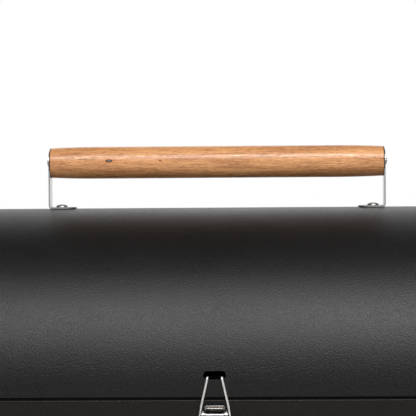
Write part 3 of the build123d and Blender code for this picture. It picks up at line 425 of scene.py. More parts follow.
def make_finishes():
    """Make every finish once and keep it by name."""
    settings = bpy.context.scene.smoker_finishes
    zinc = tuple(settings.zinc_colour)
    front, back = GRIP.y - GRIP_R, GRIP.y + GRIP_R
    knots = (
        ((GRIP.x - 110 * MM, front, GRIP.z + 2 * MM), (4.0 * MM, 9 * MM, 1.8 * MM)),
        ((GRIP.x - 57.5 * MM, front, GRIP.z + 2 * MM), (1.3 * MM, 9 * MM, 0.7 * MM)),
        ((GRIP.x + 96 * MM, back, GRIP.z + 5 * MM), (3.2 * MM, 9 * MM, 2.2 * MM)),
    )
    along_x, along_y, along_z = (0.12, 1.0, 1.0), (1.0, 0.1, 1.0), (1.0, 1.0, 0.1)
    FINISHES.update(
        black_coat=black_coat(settings),
        turned_wood=timber(settings, "turned_wood", 9.0, 105.0, knots, 0.34),
        shelf_wood=timber(settings, "shelf_wood", 3.0, 42.0, (), 0.15),
        end_grain=end_grain(settings),
        zinc_plate=plated_steel("zinc_plate", zinc, 0.36, along_x),
        zinc_hardware=plated_steel("zinc_hardware", tinted(zinc, 0.92), 0.30),
        steel_wire=plated_steel("steel_wire", (0.95, 0.94, 0.93), 0.44, along_z, 0.08, BARREL_R),
        # Zinc darkened for the latch base as a painted dark reflection: painted shade standing for the dark
        # surroundings that the bright metal reflects.
        smoked_zinc=plated_steel("smoked_zinc", (0.24, 0.225, 0.21), 0.26),
        dull_zinc=plated_steel("dull_zinc", (0.34, 0.33, 0.31), 0.40),
        # Near black on the strip behind the seam: painted shade in the gap under the lid.
        soot=moulded("soot", (0.0012, 0.0012, 0.0012), 0.95),
        plated_grate=plated_steel("plated_grate", (0.55, 0.55, 0.54), 0.24, along_y, 0.4),
        bare_iron=bare_iron((0.09, 0.085, 0.08)),
        gauge_steel=plated_steel("gauge_steel", (0.66, 0.66, 0.65), 0.22, stain=0.1),
        gauge_dial=gauge_paint("gauge_dial", (0.78, 0.77, 0.72)),
        gauge_ink=gauge_paint("gauge_ink", (0.02, 0.02, 0.02)),
        gauge_needle=gauge_paint("gauge_needle", (0.55, 0.02, 0.015), 0.35),
        gauge_glass=clear_glass(),
        gasket_fibre=woven_gasket(),
        black_plastic=moulded("black_plastic", (0.016, 0.016, 0.016)),
        hub_plastic=moulded("hub_plastic", (0.022, 0.022, 0.023), 0.45, 900.0),
        tyre_rubber=moulded("tyre_rubber", (0.020, 0.020, 0.019), 0.72, 1100.0, 0.08 * MM),
    )


def put_finish(piece, finish):
    """Give a piece one finish in all its material slots."""
    if not piece.data.materials:
        piece.data.materials.append(FINISHES[finish])
    for index in range(len(piece.data.materials)):
        piece.data.materials[index] = FINISHES[finish]


class SMOKER_OT_finishes(bpy.types.Operator):
    """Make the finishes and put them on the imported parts"""

    bl_idname = "smoker.finishes"
    bl_label = "Finishes"

    def execute(self, context):
        make_finishes()
        finish_of_slot = {"black_paint": "black_coat"}
        # The strip behind the seam takes near-black painted shade, and the latch base zinc darkened as painted
        # shade.
        finish_of_node = {"rim_strip": "soot", "latch_base": "smoked_zinc"}
        for entry in frame["record"]["subparts"]:
            node, slot = entry["node"], entry["material_slot"]
            put_finish(frame["nodes"][node], finish_of_node.get(node, finish_of_slot.get(slot, slot)))
        return {"FINISHED"}


# ---- making pieces

def finished(name, mesh, body, finish, replaced=(), smooth=True):
    """Turn a mesh into a piece that rides a body and takes a finish."""
    if smooth:
        mesh.shade_smooth()
    piece = bpy.data.objects.new(name, mesh)
    bpy.context.scene.collection.objects.link(piece)
    if finish:
        put_finish(piece, finish)
    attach(piece, body)
    if replaced:
        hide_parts(*replaced)
    return piece


def mesh_of(shape, name, sharp):
    """Write a bmesh to a mesh: doubles merged, faces outwards, edges over an angle in degrees kept sharp."""
    bmesh.ops.remove_doubles(shape, verts=shape.verts, dist=0.002 * MM)
    bmesh.ops.recalc_face_normals(shape, faces=shape.faces)
    for edge in shape.edges:
        if len(edge.link_faces) == 2 and edge.calc_face_angle(0.0) > math.radians(sharp):
            edge.smooth = False
    mesh = bpy.data.meshes.new(name)
    shape.to_mesh(mesh)
    shape.free()
    return mesh


def circle_place(radius, index, count):
    """The place of one of a count of points round a circle, as x and y."""
    turn = 2 * math.pi * index / count
    return radius * math.cos(turn), radius * math.sin(turn)


def lathe(shape, profile, place, segments):
    """Turn a profile of (out along the axis, radius) points round the z axis of a placing matrix."""
    rings = []
    for out, radius in profile:
        if radius < 1e-7:
            rings.append([shape.verts.new(place @ Vector((0, 0, out)))])
            continue
        rings.append([
            shape.verts.new(place @ Vector((*circle_place(radius, index, segments), out)))
            for index in range(segments)
        ])
    for low, high in zip(rings, rings[1:]):
        for index in range(segments):
            after = (index + 1) % segments
            if len(low) == 1 and len(high) > 1:
                shape.faces.new((low[0], high[index], high[after]))
            elif len(high) == 1 and len(low) > 1:
                shape.faces.new((low[index], low[after], high[0]))
            elif len(low) > 1:
                shape.faces.new((low[index], low[after], high[after], high[index]))


def facing(place, direction):
    """A matrix at a place whose z axis points along a direction."""
    turn = Vector(direction).to_track_quat("Z", "Y").to_matrix().to_4x4()
    return Matrix.Translation(place) @ turn


def quarter(steps):
    """Cosine and sine at each of the steps from 0 to 90 degrees."""
    turns = [math.pi / 2 * index / steps for index in range(steps + 1)]
    return [(math.cos(turn), math.sin(turn)) for turn in turns]


def dome(radius, height, rim=0.35, steps=7):
    """Profile of a domed head standing on its place, from its edge up to its pole."""
    crown = [(height * (rim + (1 - rim) * sine), radius * cosine) for cosine, sine in quarter(steps)[1:-1]]
    return [(0.0, radius * 0.98), (height * rim, radius), *crown, (height, 0.0)]


def bead(shape, start, end, radius, segments=10):
    """A round bar with domed ends between two places."""
    length = (end - start).length
    corners = quarter(3)
    foot = [(-radius * cosine, radius * sine) for cosine, sine in corners]
    head = [(length + radius * sine, radius * cosine) for cosine, sine in corners[:-1]]
    lathe(shape, foot + head + [(length + radius, 0.0)], facing(start, end - start), segments)


def outward(degrees):
    """The way a barrel's wall faces, the angle counted from the front over the top."""
    turn = math.radians(degrees)
    return Vector((0, -math.cos(turn), math.sin(turn)))


def hoop(shape, middle, radius, tube, start, stop, segments, round_steps=8):
    """Part of a ring about an axis along X, its angles counted from the front over the top; ends closed."""
    loops = []
    for index in range(segments + 1):
        out = outward(start + (stop - start) * index / segments)
        loops.append([
            shape.verts.new(middle + out * (radius + away) + Vector((aside, 0, 0)))
            for away, aside in (circle_place(tube, step, round_steps) for step in range(round_steps))
        ])
    for low, high in zip(loops, loops[1:]):
        for step in range(round_steps):
            after = (step + 1) % round_steps
            shape.faces.new((low[step], low[after], high[after], high[step]))
    if abs(stop - start) < 359.9:
        shape.faces.new(loops[0])
        shape.faces.new(list(reversed(loops[-1])))


# ---- lid handle

def strap_line(face_x, foot_z, top_z, side, bend, foot_reach):
    """Centre line of a bent strap as (x, z): down the upright, round the bend and in along the foot."""
    upright_steps, bend_steps, foot_steps = 24, 6, 20
    drop = top_z - foot_z - bend
    points = [(face_x, top_z - drop * i / upright_steps) for i in range(upright_steps + 1)]
    points += [
        (face_x - side * bend * (1 - cosine), foot_z + bend - bend * sine)
        for cosine, sine in quarter(bend_steps)[1:]
    ]
    start_x, end_x = face_x - side * bend, face_x - side * foot_reach
    points += [(start_x + (end_x - start_x) * i / foot_steps, foot_z) for i in range(1, foot_steps + 1)]
    return points


def bent_strap(side, thickness):
    """A strap bent from flat bar with both ends rounded."""
    hand = "left" if side < 0 else "right"
    node = f"lid_handle_bracket_{hand}"
    low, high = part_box(node)
    half_width = (high.y - low.y) / 2
    least_half_width, bend, columns = 0.4 * MM, 2.4 * MM, 12
    face_x = (low.x if side < 0 else high.x) - side * thickness / 2
    line = strap_line(face_x, low.z + thickness / 2, high.z, side, bend, high.x - low.x - thickness / 2)
    lengths = [0.0]
    for (x0, z0), (x1, z1) in zip(line, line[1:]):
        lengths.append(lengths[-1] + math.hypot(x1 - x0, z1 - z0))
    shape = bmesh.new()
    rows = []
    for index, (x, z) in enumerate(line):
        before, after = line[max(index - 1, 0)], line[min(index + 1, len(line) - 1)]
        along = Vector((after[0] - before[0], 0, after[1] - before[1])).normalized()
        out = Vector((-along.z, 0, along.x)) * thickness / 2
        to_end = min(lengths[index], lengths[-1] - lengths[index], half_width)
        width = max(math.sqrt(half_width**2 - (half_width - to_end) ** 2), least_half_width)
        rows.append([
            [
                shape.verts.new(Vector((x, GRIP.y + width * (2 * c / columns - 1), z)) + out * level)
                for c in range(columns + 1)
            ]
            for level in (-1, 1)
        ])
    for one, two in zip(rows, rows[1:]):
        for c in range(columns):
            shape.faces.new((one[0][c], one[0][c + 1], two[0][c + 1], two[0][c]))
            shape.faces.new((one[1][c], two[1][c], two[1][c + 1], one[1][c + 1]))
        for c in (0, columns):
            shape.faces.new((one[0][c], two[0][c], two[1][c], one[1][c]))
    for ends in (rows[0], rows[-1]):
        for c in range(columns):
            shape.faces.new((ends[0][c], ends[0][c + 1], ends[1][c + 1], ends[1][c]))
    piece = finished(f"handle_strap_{hand}", mesh_of(shape, "strap", 40), "lid", "zinc_plate",
                     (node,))
    bevel = piece.modifiers.new("edge", "BEVEL")
    bevel.width, bevel.segments = 0.3 * MM, 2
    bevel.limit_method, bevel.angle_limit = "ANGLE", math.radians(50)


def turned_grip(name, node, body, round_over, let_in=0.0):
    """A wooden bar turned a little thinner to its ends, which may be let into the straps."""
    low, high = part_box(node)
    half, radius = (high.x - low.x) / 2 + let_in, (high.z - low.z) / 2
    end_radius, belly, taper = radius - 0.75 * MM, radius + 0.4 * MM, half * 0.28
    taper_steps, middle_steps, shaded_end_depth = 8, 12, 1.7 * MM
    profile = [(-half, 0.0), (-half, radius * 0.45), (-half, end_radius - round_over * 1.15)]
    profile += [
        (-half + round_over * (1 - cosine), end_radius - round_over * 0.9 * (1 - sine))
        for cosine, sine in quarter(6)
    ]
    for index in range(1, taper_steps + 1):
        share = index / taper_steps
        profile.append((-half + round_over + taper * share, belly - (belly - end_radius) * (1 - share) ** 2))
    start = profile[-1][0]
    inner = [(start - 2 * start * i / middle_steps, belly) for i in range(1, middle_steps)]
    shape = bmesh.new()
    middle = centre(node)
    lathe(shape, profile + inner + [(-out, r) for out, r in reversed(profile)], facing(middle, (1, 0, 0)), 96)
    # The faces near each end, the rounded edge too, take the near-black end finish: end grain, and painted
    # shade along the end's edge.
    for face in shape.faces:
        if abs(face.calc_center_median().x - middle.x) > half - shaded_end_depth:
            face.material_index = 1
    piece = finished(name, mesh_of(shape, name, 60), body, None, (node,))
    piece.data.materials.append(FINISHES["turned_wood"])
    piece.data.materials.append(FINISHES["end_grain"])


def end_screws():
    """A domed screw through each strap into the bar's end."""
    node = "lid_handle_end_screws"
    low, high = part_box(node)
    radius, sunk = 4 * MM, 0.3 * MM
    left_seat, right_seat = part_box("lid_handle_bracket_left")[0].x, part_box("lid_handle_bracket_right")[1].x
    shape = bmesh.new()
    for seat_x, tip_x, side in ((left_seat, low.x, -1), (right_seat, high.x, 1)):
        place = facing(Vector((seat_x, GRIP.y, GRIP.z)), (side, 0, 0))
        under = [(-sunk, 0.0), (-sunk, radius - 0.1 * MM)]
        lathe(shape, under + dome(radius, abs(tip_x - seat_x)), place, 28)
    finished("handle_end_screws", mesh_of(shape, "end_screws", 50), "lid", "zinc_hardware",
             (node,))


def foot_bolts(strap_thickness):
    """A domed bolt through each strap's foot and the lid's wall, with a hexagon nut inside."""
    node = "lid_handle_foot_bolts"
    low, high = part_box(node)
    foot_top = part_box("lid_handle_bracket_left")[0].z + strap_thickness
    head_radius, shank_radius, tip_radius = 6 * MM, 3 * MM, 2.4 * MM
    nut_radius, nut_face_radius, nut_chamfer = 5.6 * MM, 4.9 * MM, 0.4 * MM
    nut_low, nut_high = -9 * MM, -4 * MM
    depth = foot_top - low.z
    under = [(-0.2 * MM, 0.0), (-0.2 * MM, head_radius - 0.3 * MM)]
    head = under + dome(head_radius, high.z - foot_top, 0.22)
    shank = [(-0.1 * MM, 0.0), (-0.1 * MM, shank_radius), (-depth, shank_radius),
             (-depth - 0.4 * MM, tip_radius), (-depth - 0.4 * MM, 0.0)]
    nut = [(nut_low, 0.0), (nut_low, nut_face_radius), (nut_low + nut_chamfer, nut_radius),
           (nut_high - nut_chamfer, nut_radius), (nut_high, nut_face_radius), (nut_high, 0.0)]
    shape = bmesh.new()
    for x in (low.x + head_radius, high.x - head_radius):
        up = facing(Vector((x, GRIP.y, foot_top)), (0, 0, 1))
        for profile, segments in ((head, 36), (shank, 20), (nut, 6)):
            lathe(shape, profile, up, segments)
    finished("handle_foot_bolts", mesh_of(shape, "foot_bolts", 45), "lid", "zinc_hardware",
             (node,))


class SMOKER_OT_lid_handle(bpy.types.Operator):
    """Make the lid's wooden bar, its two bent straps, their screws and their bolts"""

    bl_idname = "smoker.lid_handle"
    bl_label = "Lid handle"

    def execute(self, context):
        thickness = context.scene.smoker_fittings.strap_thickness
        turned_grip("handle_bar", "lid_handle_grip", "lid", 1.3 * MM, 0.8 * MM)
        for side in (-1, 1):
            bent_strap(side, thickness)
        end_screws()
        foot_bolts(thickness)
        return {"FINISHED"}


class SMOKER_OT_firebox_grip(bpy.types.Operator):
    """Make the firebox lid's wooden bar"""

    bl_idname = "smoker.firebox_grip"
    bl_label = "Firebox grip"

    def execute(self, context):
        turned_grip("firebox_bar", "firebox_lid_grip", "firebox_lid", 2.2 * MM)
        return {"FINISHED"}


# ---- rolled edges

class SMOKER_OT_hems(bpy.types.Operator):
    """Make the rolled edges along the seam and round the barrels' ends"""

    bl_idname = "smoker.hems"
    bl_label = "Rolled edges"

    def execute(self, context):
        tube = context.scene.smoker_fittings.hem_radius
        half_seam = WALL_LOW.z - BARREL.z
        length = Vector((WALL_HIGH.x - WALL_LOW.x - 2 * tube, 0, 0))
        tilt = math.degrees(math.asin(half_seam / BARREL_R))
        lid, body, firebox = bmesh.new(), bmesh.new(), bmesh.new()
        for side in (-1, 1):
            y = BARREL.y + side * (BARREL_R - tube * 0.6)
            first = Vector((WALL_LOW.x + tube, y, BARREL.z - half_seam - tube))
            bead(body, first, first + length, tube)
        for x in (WALL_LOW.x, WALL_HIGH.x):
            middle = Vector((x, BARREL.y, BARREL.z))
            hoop(lid, middle, BARREL_R - tube, tube, tilt, 180 - tilt, 96)
            hoop(body, middle, BARREL_R - tube, tube, -tilt, tilt - 180, 96)
        for x in (FIREBOX_LOW.x, FIREBOX_HIGH.x):
            hoop(firebox, Vector((x, FIREBOX.y, FIREBOX.z)), FIREBOX_R - tube, tube * 1.3, 0, 360, 128)
        for name, shape, rides in (
            ("lid_hems", lid, "lid"), ("body_hems", body, "chassis"), ("firebox_hems", firebox, "chassis")
        ):
            finished(name, mesh_of(shape, name, 60), rides, "black_coat")
        return {"FINISHED"}


# ---- latch base

# Degrees from the front over the top
LATCH_ANGLE = -12.0


class SMOKER_OT_latch_trim(bpy.types.Operator):
    """Make the bright folded edge and the pressed rib of the latch's base"""

    bl_idname = "smoker.latch_trim"
    bl_label = "Latch base trim"

    def execute(self, context):
        out = outward(LATCH_ANGLE)
        up = Vector((0, out.z, -out.y))
        touch = BARREL + out * BARREL_R
        top, side, face = 30.7 * MM, 9.2 * MM, 1.5 * MM
        shoulder, foot, narrow = top - 2.0 * MM, top - 50 * MM, 0.87
        rib_up, rib_half, rib_face = 28.0 * MM, 7.4 * MM, face - 0.3 * MM

        def spot(x, along, height=face):
            return touch + Vector((x, 0, 0)) + up * along + out * height

        shape = bmesh.new()
        bead(shape, spot(-side + 1.2 * MM, top), spot(side - 1.2 * MM, top), 0.55 * MM)
        for x in (-side, side):
            bead(shape, spot(x, shoulder), spot(x, foot), 0.45 * MM)
            bead(shape, spot(x, shoulder), spot(x * narrow, top), 0.5 * MM)
        bead(shape, spot(-rib_half, rib_up, rib_face), spot(rib_half, rib_up, rib_face), 0.95 * MM)
        finished("latch_trim", mesh_of(shape, "latch_trim", 60), "chassis", "dull_zinc")
        return {"FINISHED"}


# ---- rivets and screws on repeated places

def head_tree():
    """A node group that puts a domed head on every point, facing along the point's 'facing' vector."""
    tree = bpy.data.node_groups.new("heads_on_points", "GeometryNodeTree")
    for name, kind in (
        ("Geometry", "NodeSocketGeometry"),
        ("Head Radius", "NodeSocketFloat"),
        ("Head Height", "NodeSocketFloat"),
        ("Finish", "NodeSocketMaterial"),
    ):
        tree.interface.new_socket(name=name, in_out="INPUT", socket_type=kind)
    tree.interface.new_socket(name="Geometry", in_out="OUTPUT", socket_type="NodeSocketGeometry")
    given = add_node(tree, "NodeGroupInput").outputs
    radius, height = given["Head Radius"], given["Head Height"]
    ball = add_node(tree, "GeometryNodeMeshUVSphere", Segments=20, Rings=10, Radius=1.0)
    sizes = add_node(tree, "ShaderNodeCombineXYZ", X=radius, Y=radius, Z=height)
    head = add_node(tree, "GeometryNodeTransform", Geometry=ball.outputs["Mesh"], Scale=sizes.outputs[0])
    vectors = {"data_type": "FLOAT_VECTOR"}
    way = add_node(tree, "GeometryNodeInputNamedAttribute", vectors, Name="facing").outputs["Attribute"]
    turn = add_node(tree, "FunctionNodeAlignRotationToVector", {"axis": "Z"}, Vector=way)
    points = add_node(tree, "GeometryNodeMeshToPoints", Mesh=given["Geometry"])
    placed = add_node(tree, "GeometryNodeInstanceOnPoints", Points=points.outputs[0],
                      Instance=head.outputs[0], Rotation=turn.outputs[0])
    real = add_node(tree, "GeometryNodeRealizeInstances", Geometry=placed.outputs[0])
    smooth = add_node(tree, "GeometryNodeSetShadeSmooth", Geometry=real.outputs[0])
    coated = add_node(tree, "GeometryNodeSetMaterial", Geometry=smooth.outputs[0], Material=given["Finish"])
    add_node(tree, "NodeGroupOutput", Geometry=coated.outputs[0])
    return tree


def plain_mesh(carrier, name):
    """The mesh that an object's data and modifiers make; the object is removed."""
    bpy.context.view_layer.update()
    graph = bpy.context.evaluated_depsgraph_get()
    mesh = bpy.data.meshes.new_from_object(carrier.evaluated_get(graph), depsgraph=graph)
    carrier.modifiers.clear()
    bpy.data.objects.remove(carrier)
    if not mesh.polygons:
        raise RuntimeError(f"{name} came out empty")
    mesh.name = name
    return mesh


def heads(name, body, places, radius, height):
    """Domed zinc heads at (place, facing) pairs on one body."""
    points = bpy.data.meshes.new(name + "_places")
    points.from_pydata([tuple(place) for place, _ in places], [], [])
    attribute = points.attributes.new("facing", "FLOAT_VECTOR", "POINT")
    for item, (_, direction) in zip(attribute.data, places):
        item.vector = tuple(direction)
    carrier = bpy.data.objects.new(name + "_carrier", points)
    bpy.context.scene.collection.objects.link(carrier)
    tree = bpy.data.node_groups.get("heads_on_points") or head_tree()
    modifier = carrier.modifiers.new("heads", "NODES")
    modifier.node_group = tree
    keys = {item.name: item.identifier for item in tree.interface.items_tree if item.in_out == "INPUT"}
    modifier[keys["Head Radius"]] = radius
    modifier[keys["Head Height"]] = height
    modifier[keys["Finish"]] = FINISHES["zinc_hardware"]
    finished(name, plain_mesh(carrier, name), body, "zinc_hardware")


def leaf_places(node, middle, radius, pin_angle, toward):
    """Six rivet places on each of a node's two hinge leaves, and the way that each faces."""
    low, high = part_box(node)
    half_leaf, row_angles = 30 * MM, (9.0, 16.5)
    places = []
    for leaf_middle in (low.x + half_leaf, high.x - half_leaf):
        for across in (-20 * MM, 0.0, 20 * MM):
            for angle in row_angles:
                out = outward(pin_angle + toward * angle)
                places.append((Vector((leaf_middle + across, middle.y, middle.z)) + out * radius, out))
    return places


def shelf_screws():
    """Two screws through each of the front shelf's three slats into each bracket."""
    low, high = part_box("front_shelf_slats")
    brackets_low, brackets_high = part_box("front_shelf_brackets")
    slats, gap, half_bracket = 3, 8 * MM, 12.5 * MM
    slat = (high.y - low.y - gap * (slats - 1)) / slats
    up = Vector((0, 0, 1))
    places = [
        (Vector((x, low.y + index * (slat + gap) + slat * across, high.z)), up)
        for x in (brackets_low.x + half_bracket, brackets_high.x - half_bracket)
        for index in range(slats)
        for across in (0.25, 0.75)
    ]
    heads("shelf_screws", "chassis", places, 4.5 * MM, 1.3 * MM)


class SMOKER_OT_rivets(bpy.types.Operator):
    """Make the hinge rivets and the shelf screws"""

    bl_idname = "smoker.rivets"
    bl_label = "Rivets and screws"

    def execute(self, context):
        radius, height = context.scene.smoker_fittings.rivet_radius, 1.5 * MM
        leaf_top, lid_panel = 1.55 * MM, 2.6 * MM
        main_pin, fire_pin = 180.0, 121.0
        main = (BARREL, BARREL_R + leaf_top, main_pin)
        fire = (FIREBOX, FIREBOX_R + leaf_top, fire_pin)
        fire_lid = (FIREBOX, FIREBOX_R + lid_panel + leaf_top, fire_pin)
        for name, body, leaves, row, toward in (
            ("lid_hinge_rivets", "lid", "lid_hinge_moving_leaves", main, -1),
            ("body_hinge_rivets", "chassis", "lid_hinge_fixed_leaves", main, 1),
            ("fire_lid_rivets", "firebox_lid", "firebox_hinge_moving_leaves", fire_lid, -1),
            ("fire_body_rivets", "chassis", "firebox_hinge_fixed_leaves", fire, 1),
        ):
            heads(name, body, leaf_places(leaves, *row, toward), radius, height)
        shelf_screws()
        return {"FINISHED"}


# ---- tyres

def tread_radius(across, turn, blocks, width, radius):
    """Radius of the tread: two grooves round it and blocks between them, staggered from row to row."""
    groove, shoulder_drop, shoulder, block_gap = 1.6 * MM, 9 * MM, 0.80, 0.80
    groove_start, groove_end = 0.20, 0.27
    rib = abs(across) / (width / 2)
    if rib > shoulder:
        return radius - shoulder_drop * ((rib - shoulder) / (1 - shoulder)) ** 2
    if groove_start < rib < groove_end:
        return radius - groove
    row = 0 if rib <= groove_start else (1 if across > 0 else 2)
    phase = (turn / (2 * math.pi) * blocks + row * 0.5) % 1.0
    return radius - (groove if phase > block_gap else 0.0)


def treaded_tyre(side, blocks):
    """A tyre with a moulded tread and a plain bore."""
    node, name, body = f"wheel_{side}_tyre", f"tyre_{side}", f"wheel_{side}"
    low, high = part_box(node)
    middle, width, radius = centre(node), high.y - low.y, (high.z - low.z) / 2
    bore, steps, around = 62 * MM, 46, blocks * 8
    inside_edge = 0.999
    shape = bmesh.new()

    def ring(across, radii):
        places = (circle_place(reach, index, around) for index, reach in enumerate(radii))
        return [shape.verts.new(middle + Vector((x, across, z))) for x, z in places]

    loops = []
    for step in range(steps + 1):
        across = -width / 2 + width * step / steps
        loops.append(ring(across, [
            tread_radius(across * inside_edge, 2 * math.pi * index / around, blocks, width, radius)
            for index in range(around)
        ]))
    loops += [ring(across, [bore] * around) for across in (width / 2, -width / 2)]
    loops.append(loops[0])
    for one, two in zip(loops, loops[1:]):
        for index in range(around):
            after = (index + 1) % around
            shape.faces.new((one[index], one[after], two[after], two[index]))
    finished(name, mesh_of(shape, name, 30), body, "tyre_rubber", (node,))


class SMOKER_OT_tyres(bpy.types.Operator):
    """Make the two treaded tyres"""

    bl_idname = "smoker.tyres"
    bl_label = "Tyres"

    def execute(self, context):
        for side in ("front", "back"):
            treaded_tyre(side, context.scene.smoker_fittings.tread_count)
        return {"FINISHED"}


# ---- thermometer face

# Degrees from the front over the top
GAUGE_ANGLE = 40.0
SCALE_START, SCALE_SWEEP = math.radians(220.0), math.radians(270.0)


def scale_direction(share):
    """The way from the dial's middle to a share of the scale."""
    turn = SCALE_START - SCALE_SWEEP * share
    return Vector((math.cos(turn), math.sin(turn), 0))


def scale_marks(place):
    """A mark each ten degrees of heat, with a long one each fifty."""
    count, outer, lift = 30, 26 * MM, Vector((0, 0, 0.12 * MM))
    shape = bmesh.new()
    for index in range(count + 1):
        is_long = index % 5 == 0
        inner = (21.5 if is_long else 23.8) * MM
        half_width = (0.55 if is_long else 0.28) * MM
        along = scale_direction(index / count)
        side = Vector((-along.y, along.x, 0)) * half_width
        corners = [along * inner - side, along * outer - side, along * outer + side, along * inner + side]
        low = [shape.verts.new(place @ corner) for corner in corners]
        high = [shape.verts.new(place @ (corner + lift)) for corner in corners]
        shape.faces.new(high)
        shape.faces.new(list(reversed(low)))
        for one in range(4):
            two = (one + 1) % 4
            shape.faces.new((low[one], low[two], high[two], high[one]))
    mesh = mesh_of(shape, "gauge_marks", 30)
    finished("gauge_marks", mesh, "lid", "gauge_ink", smooth=False)


def scale_number(place, index):
    """One of the numbers 0 to 300."""
    name = f"gauge_number_{index}"
    text = bpy.data.curves.new(name, "FONT")
    text.body = str(50 * index)
    text.size, text.extrude = 5.4 * MM, 0.06 * MM
    text.align_x, text.align_y = "CENTER", "CENTER"
    carrier = bpy.data.objects.new("number_carrier", text)
    bpy.context.scene.collection.objects.link(carrier)
    mesh = plain_mesh(carrier, name)
    spot = scale_direction(index / 6) * 17.0 * MM + Vector((0, 0, 0.08 * MM))
    mesh.transform(place @ Matrix.Translation(spot))
    mesh.materials.clear()
    finished(name, mesh, "lid", "gauge_ink", smooth=False)


def bezel(place):
    """The bright rolled ring that holds the glass, its outline in millimetres as (out, radius)."""
    outline = (
        (-3.2, 29.0), (-3.2, 30.5), (-0.6, 30.9), (0.2, 30.3),
        (0.4, 29.2), (0.0, 28.2), (-0.6, 28.1), (-3.2, 29.0),
    )
    shape = bmesh.new()
    glass = place @ Matrix.Translation((0, 0, 8.95 * MM))
    lathe(shape, [(out * MM, radius * MM) for out, radius in outline], glass, 72)
    finished("gauge_bezel", mesh_of(shape, "gauge_bezel", 40), "lid", "gauge_steel")


class SMOKER_OT_gauge(bpy.types.Operator):
    """Make the thermometer's scale and its bright bezel"""

    bl_idname = "smoker.gauge"
    bl_label = "Thermometer face"

    def execute(self, context):
        out = outward(GAUGE_ANGLE)
        dial_height = 7.25 * MM
        middle = Vector((centre("thermometer_dial").x, BARREL.y, BARREL.z))
        face = middle + out * (BARREL_R + dial_height)
        right, up = Vector((1, 0, 0)), Vector((0, out.z, -out.y))
        place = Matrix.Translation(face) @ Matrix((right, up, out)).transposed().to_4x4()
        scale_marks(place)
        for index in range(7):
            scale_number(place, index)
        bezel(place)
        return {"FINISHED"}


# ---- studio

def soft_panel(name, place, aim, width, height, power):
    """A large soft light that the camera doesn't see."""
    light = bpy.data.lights.new(name, "AREA")
    light.shape = "RECTANGLE"
    light.size, light.size_y, light.energy = width, height, power
    panel = bpy.data.objects.new(name, light)
    panel.location = place
    panel.rotation_euler = (Vector(aim) - Vector(place)).to_track_quat("-Z", "Y").to_euler()
    panel.visible_camera = False
    bpy.context.scene.collection.objects.link(panel)


def pale_floor():
    """A wide pale disc that fades into the white of the studio."""
    shape = bmesh.new()
    bmesh.ops.create_circle(shape, cap_ends=True, segments=96, radius=14.0)
    mesh = bpy.data.meshes.new("studio_floor")
    shape.to_mesh(mesh)
    shape.free()
    floor = bpy.data.objects.new("studio_floor", mesh)
    bpy.context.scene.collection.objects.link(floor)
    paper = Finish("pale_floor", Roughness=0.9, Specular_IOR_Level=0.2)
    away = paper.distance((0.0, 0.0, 0.0), (1.0, 1.0, 1.0)).step(0.9, 3.2)
    speck = paper.noise(300.0, detail=2.0)
    paper.surface(Base_Color=paper.blend((0.80, 0.80, 0.795), (0.84, 0.84, 0.835), speck))
    glow = paper.node("ShaderNodeEmission", Color=(1, 1, 1, 1), Strength=1.0)
    mix = paper.node("ShaderNodeMixShader", None, {0: away, 1: paper.shader.outputs[0], 2: glow.outputs[0]})
    feed(paper.tree, paper.tree.nodes["Material Output"].inputs["Surface"], mix.outputs[0])
    mesh.materials.append(paper.material)


def studio_world(fill):
    """White behind the object, and dim walls for the light that reaches it."""
    world = bpy.data.worlds.new("studio")
    bpy.context.scene.world = world
    world.use_nodes = True
    tree = world.node_tree
    tree.nodes.clear()
    seen = add_node(tree, "ShaderNodeBackground", Color=(1, 1, 1, 1))
    lit = add_node(tree, "ShaderNodeBackground", Color=(1, 1, 1, 1), Strength=fill)
    path = add_node(tree, "ShaderNodeLightPath")
    sockets = {0: path.outputs["Is Camera Ray"], 1: lit.outputs[0], 2: seen.outputs[0]}
    mix = add_node(tree, "ShaderNodeMixShader", None, sockets)
    add_node(tree, "ShaderNodeOutputWorld", Surface=mix.outputs[0])


def aimed_camera(studio):
    """A long lens a little above the barrel's axis, rolled slightly, that frames the middle of the lid."""
    data = bpy.data.cameras.new("camera")
    data.lens, data.sensor_width, data.clip_end = studio.lens, 36.0, 100.0
    camera = bpy.data.objects.new("camera", data)
    bpy.context.scene.collection.objects.link(camera)
    right_of_middle, rise = 43 * MM, studio.camera_height
    place = BARREL + Vector((
        right_of_middle, -studio.camera_distance * math.cos(rise), studio.camera_distance * math.sin(rise)
    ))
    toward = (GRIP - place).normalized()
    right = toward.cross(Vector((0, 0, 1))).normalized()
    above = right.cross(toward)
    grip_right, grip_above, roll = 0.00454, 0.02268, math.radians(-0.43)
    aim = (toward - right * grip_right - above * grip_above).normalized()
    turn = aim.to_track_quat("-Z", "Y").to_matrix().to_4x4() @ Matrix.Rotation(roll, 4, "Z")
    camera.matrix_world = Matrix.Translation(place) @ turn
    bpy.context.scene.camera = camera


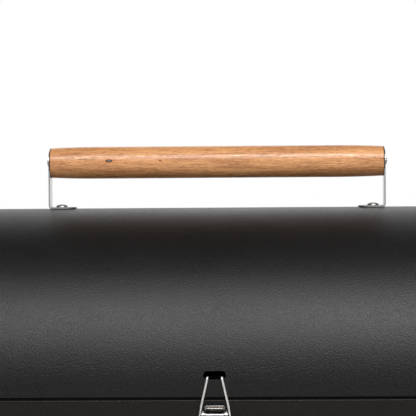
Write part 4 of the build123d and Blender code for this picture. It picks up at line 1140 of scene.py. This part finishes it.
class SMOKER_OT_studio(bpy.types.Operator):
    """Make the floor, the soft lights and the camera"""

    bl_idname = "smoker.studio"
    bl_label = "Studio"

    def execute(self, context):
        studio = context.scene.smoker_studio
        context.scene.view_settings.view_transform = "Standard"
        pale_floor()
        studio_world(studio.fill)
        above_front = BARREL + Vector((0.25, -1.93, 1.93))
        high_front = Vector((BARREL.x + 0.16, BARREL.y - 1.75, GRIP.z + 1.85))
        behind = BARREL + Vector((0, 2.4, 1.0))
        upper_back = BARREL + Vector((0, 0, 0.15))
        soft_panel("key_panel", above_front, BARREL, 3.0, 1.05, studio.key_power)
        soft_panel("spark_panel", high_front, GRIP, 0.42, 0.05, studio.spark_power)
        soft_panel("rim_panel", behind, upper_back, 4.0, 2.4, studio.rim_power)
        aimed_camera(studio)
        return {"FINISHED"}


# ---- panel and registration

OPERATORS = (
    SMOKER_OT_finishes,
    SMOKER_OT_lid_handle,
    SMOKER_OT_firebox_grip,
    SMOKER_OT_hems,
    SMOKER_OT_latch_trim,
    SMOKER_OT_rivets,
    SMOKER_OT_tyres,
    SMOKER_OT_gauge,
    SMOKER_OT_studio,
)


class SMOKER_PT_panel(bpy.types.Panel):
    """Lists the makers of the smoker's finishes and fittings"""

    bl_label = "Smoker"
    bl_idname = "SMOKER_PT_panel"
    bl_space_type = "VIEW_3D"
    bl_region_type = "UI"
    bl_category = "Smoker"

    def draw(self, context):
        scene = context.scene
        for operator in OPERATORS:
            self.layout.operator(operator.bl_idname)
        for group in (scene.smoker_finishes, scene.smoker_fittings, scene.smoker_studio):
            for key in group.bl_rna.properties.keys():
                if key not in {"rna_type", "name"}:
                    self.layout.prop(group, key)


CLASSES = (SmokerFinishes, SmokerFittings, SmokerStudio, *OPERATORS, SMOKER_PT_panel)


def register():
    for item in CLASSES:
        bpy.utils.register_class(item)
    bpy.types.Scene.smoker_finishes = PointerProperty(type=SmokerFinishes)
    bpy.types.Scene.smoker_fittings = PointerProperty(type=SmokerFittings)
    bpy.types.Scene.smoker_studio = PointerProperty(type=SmokerStudio)


def unregister():
    del bpy.types.Scene.smoker_studio
    del bpy.types.Scene.smoker_fittings
    del bpy.types.Scene.smoker_finishes
    for item in reversed(CLASSES):
        bpy.utils.unregister_class(item)


def main():
    """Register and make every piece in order."""
    register()
    bpy.ops.smoker.finishes()
    bpy.ops.smoker.lid_handle()
    bpy.ops.smoker.firebox_grip()
    bpy.ops.smoker.hems()
    bpy.ops.smoker.latch_trim()
    bpy.ops.smoker.rivets()
    bpy.ops.smoker.tyres()
    bpy.ops.smoker.gauge()
    bpy.ops.smoker.studio()
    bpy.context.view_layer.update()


if __name__ == "__main__":
    main()
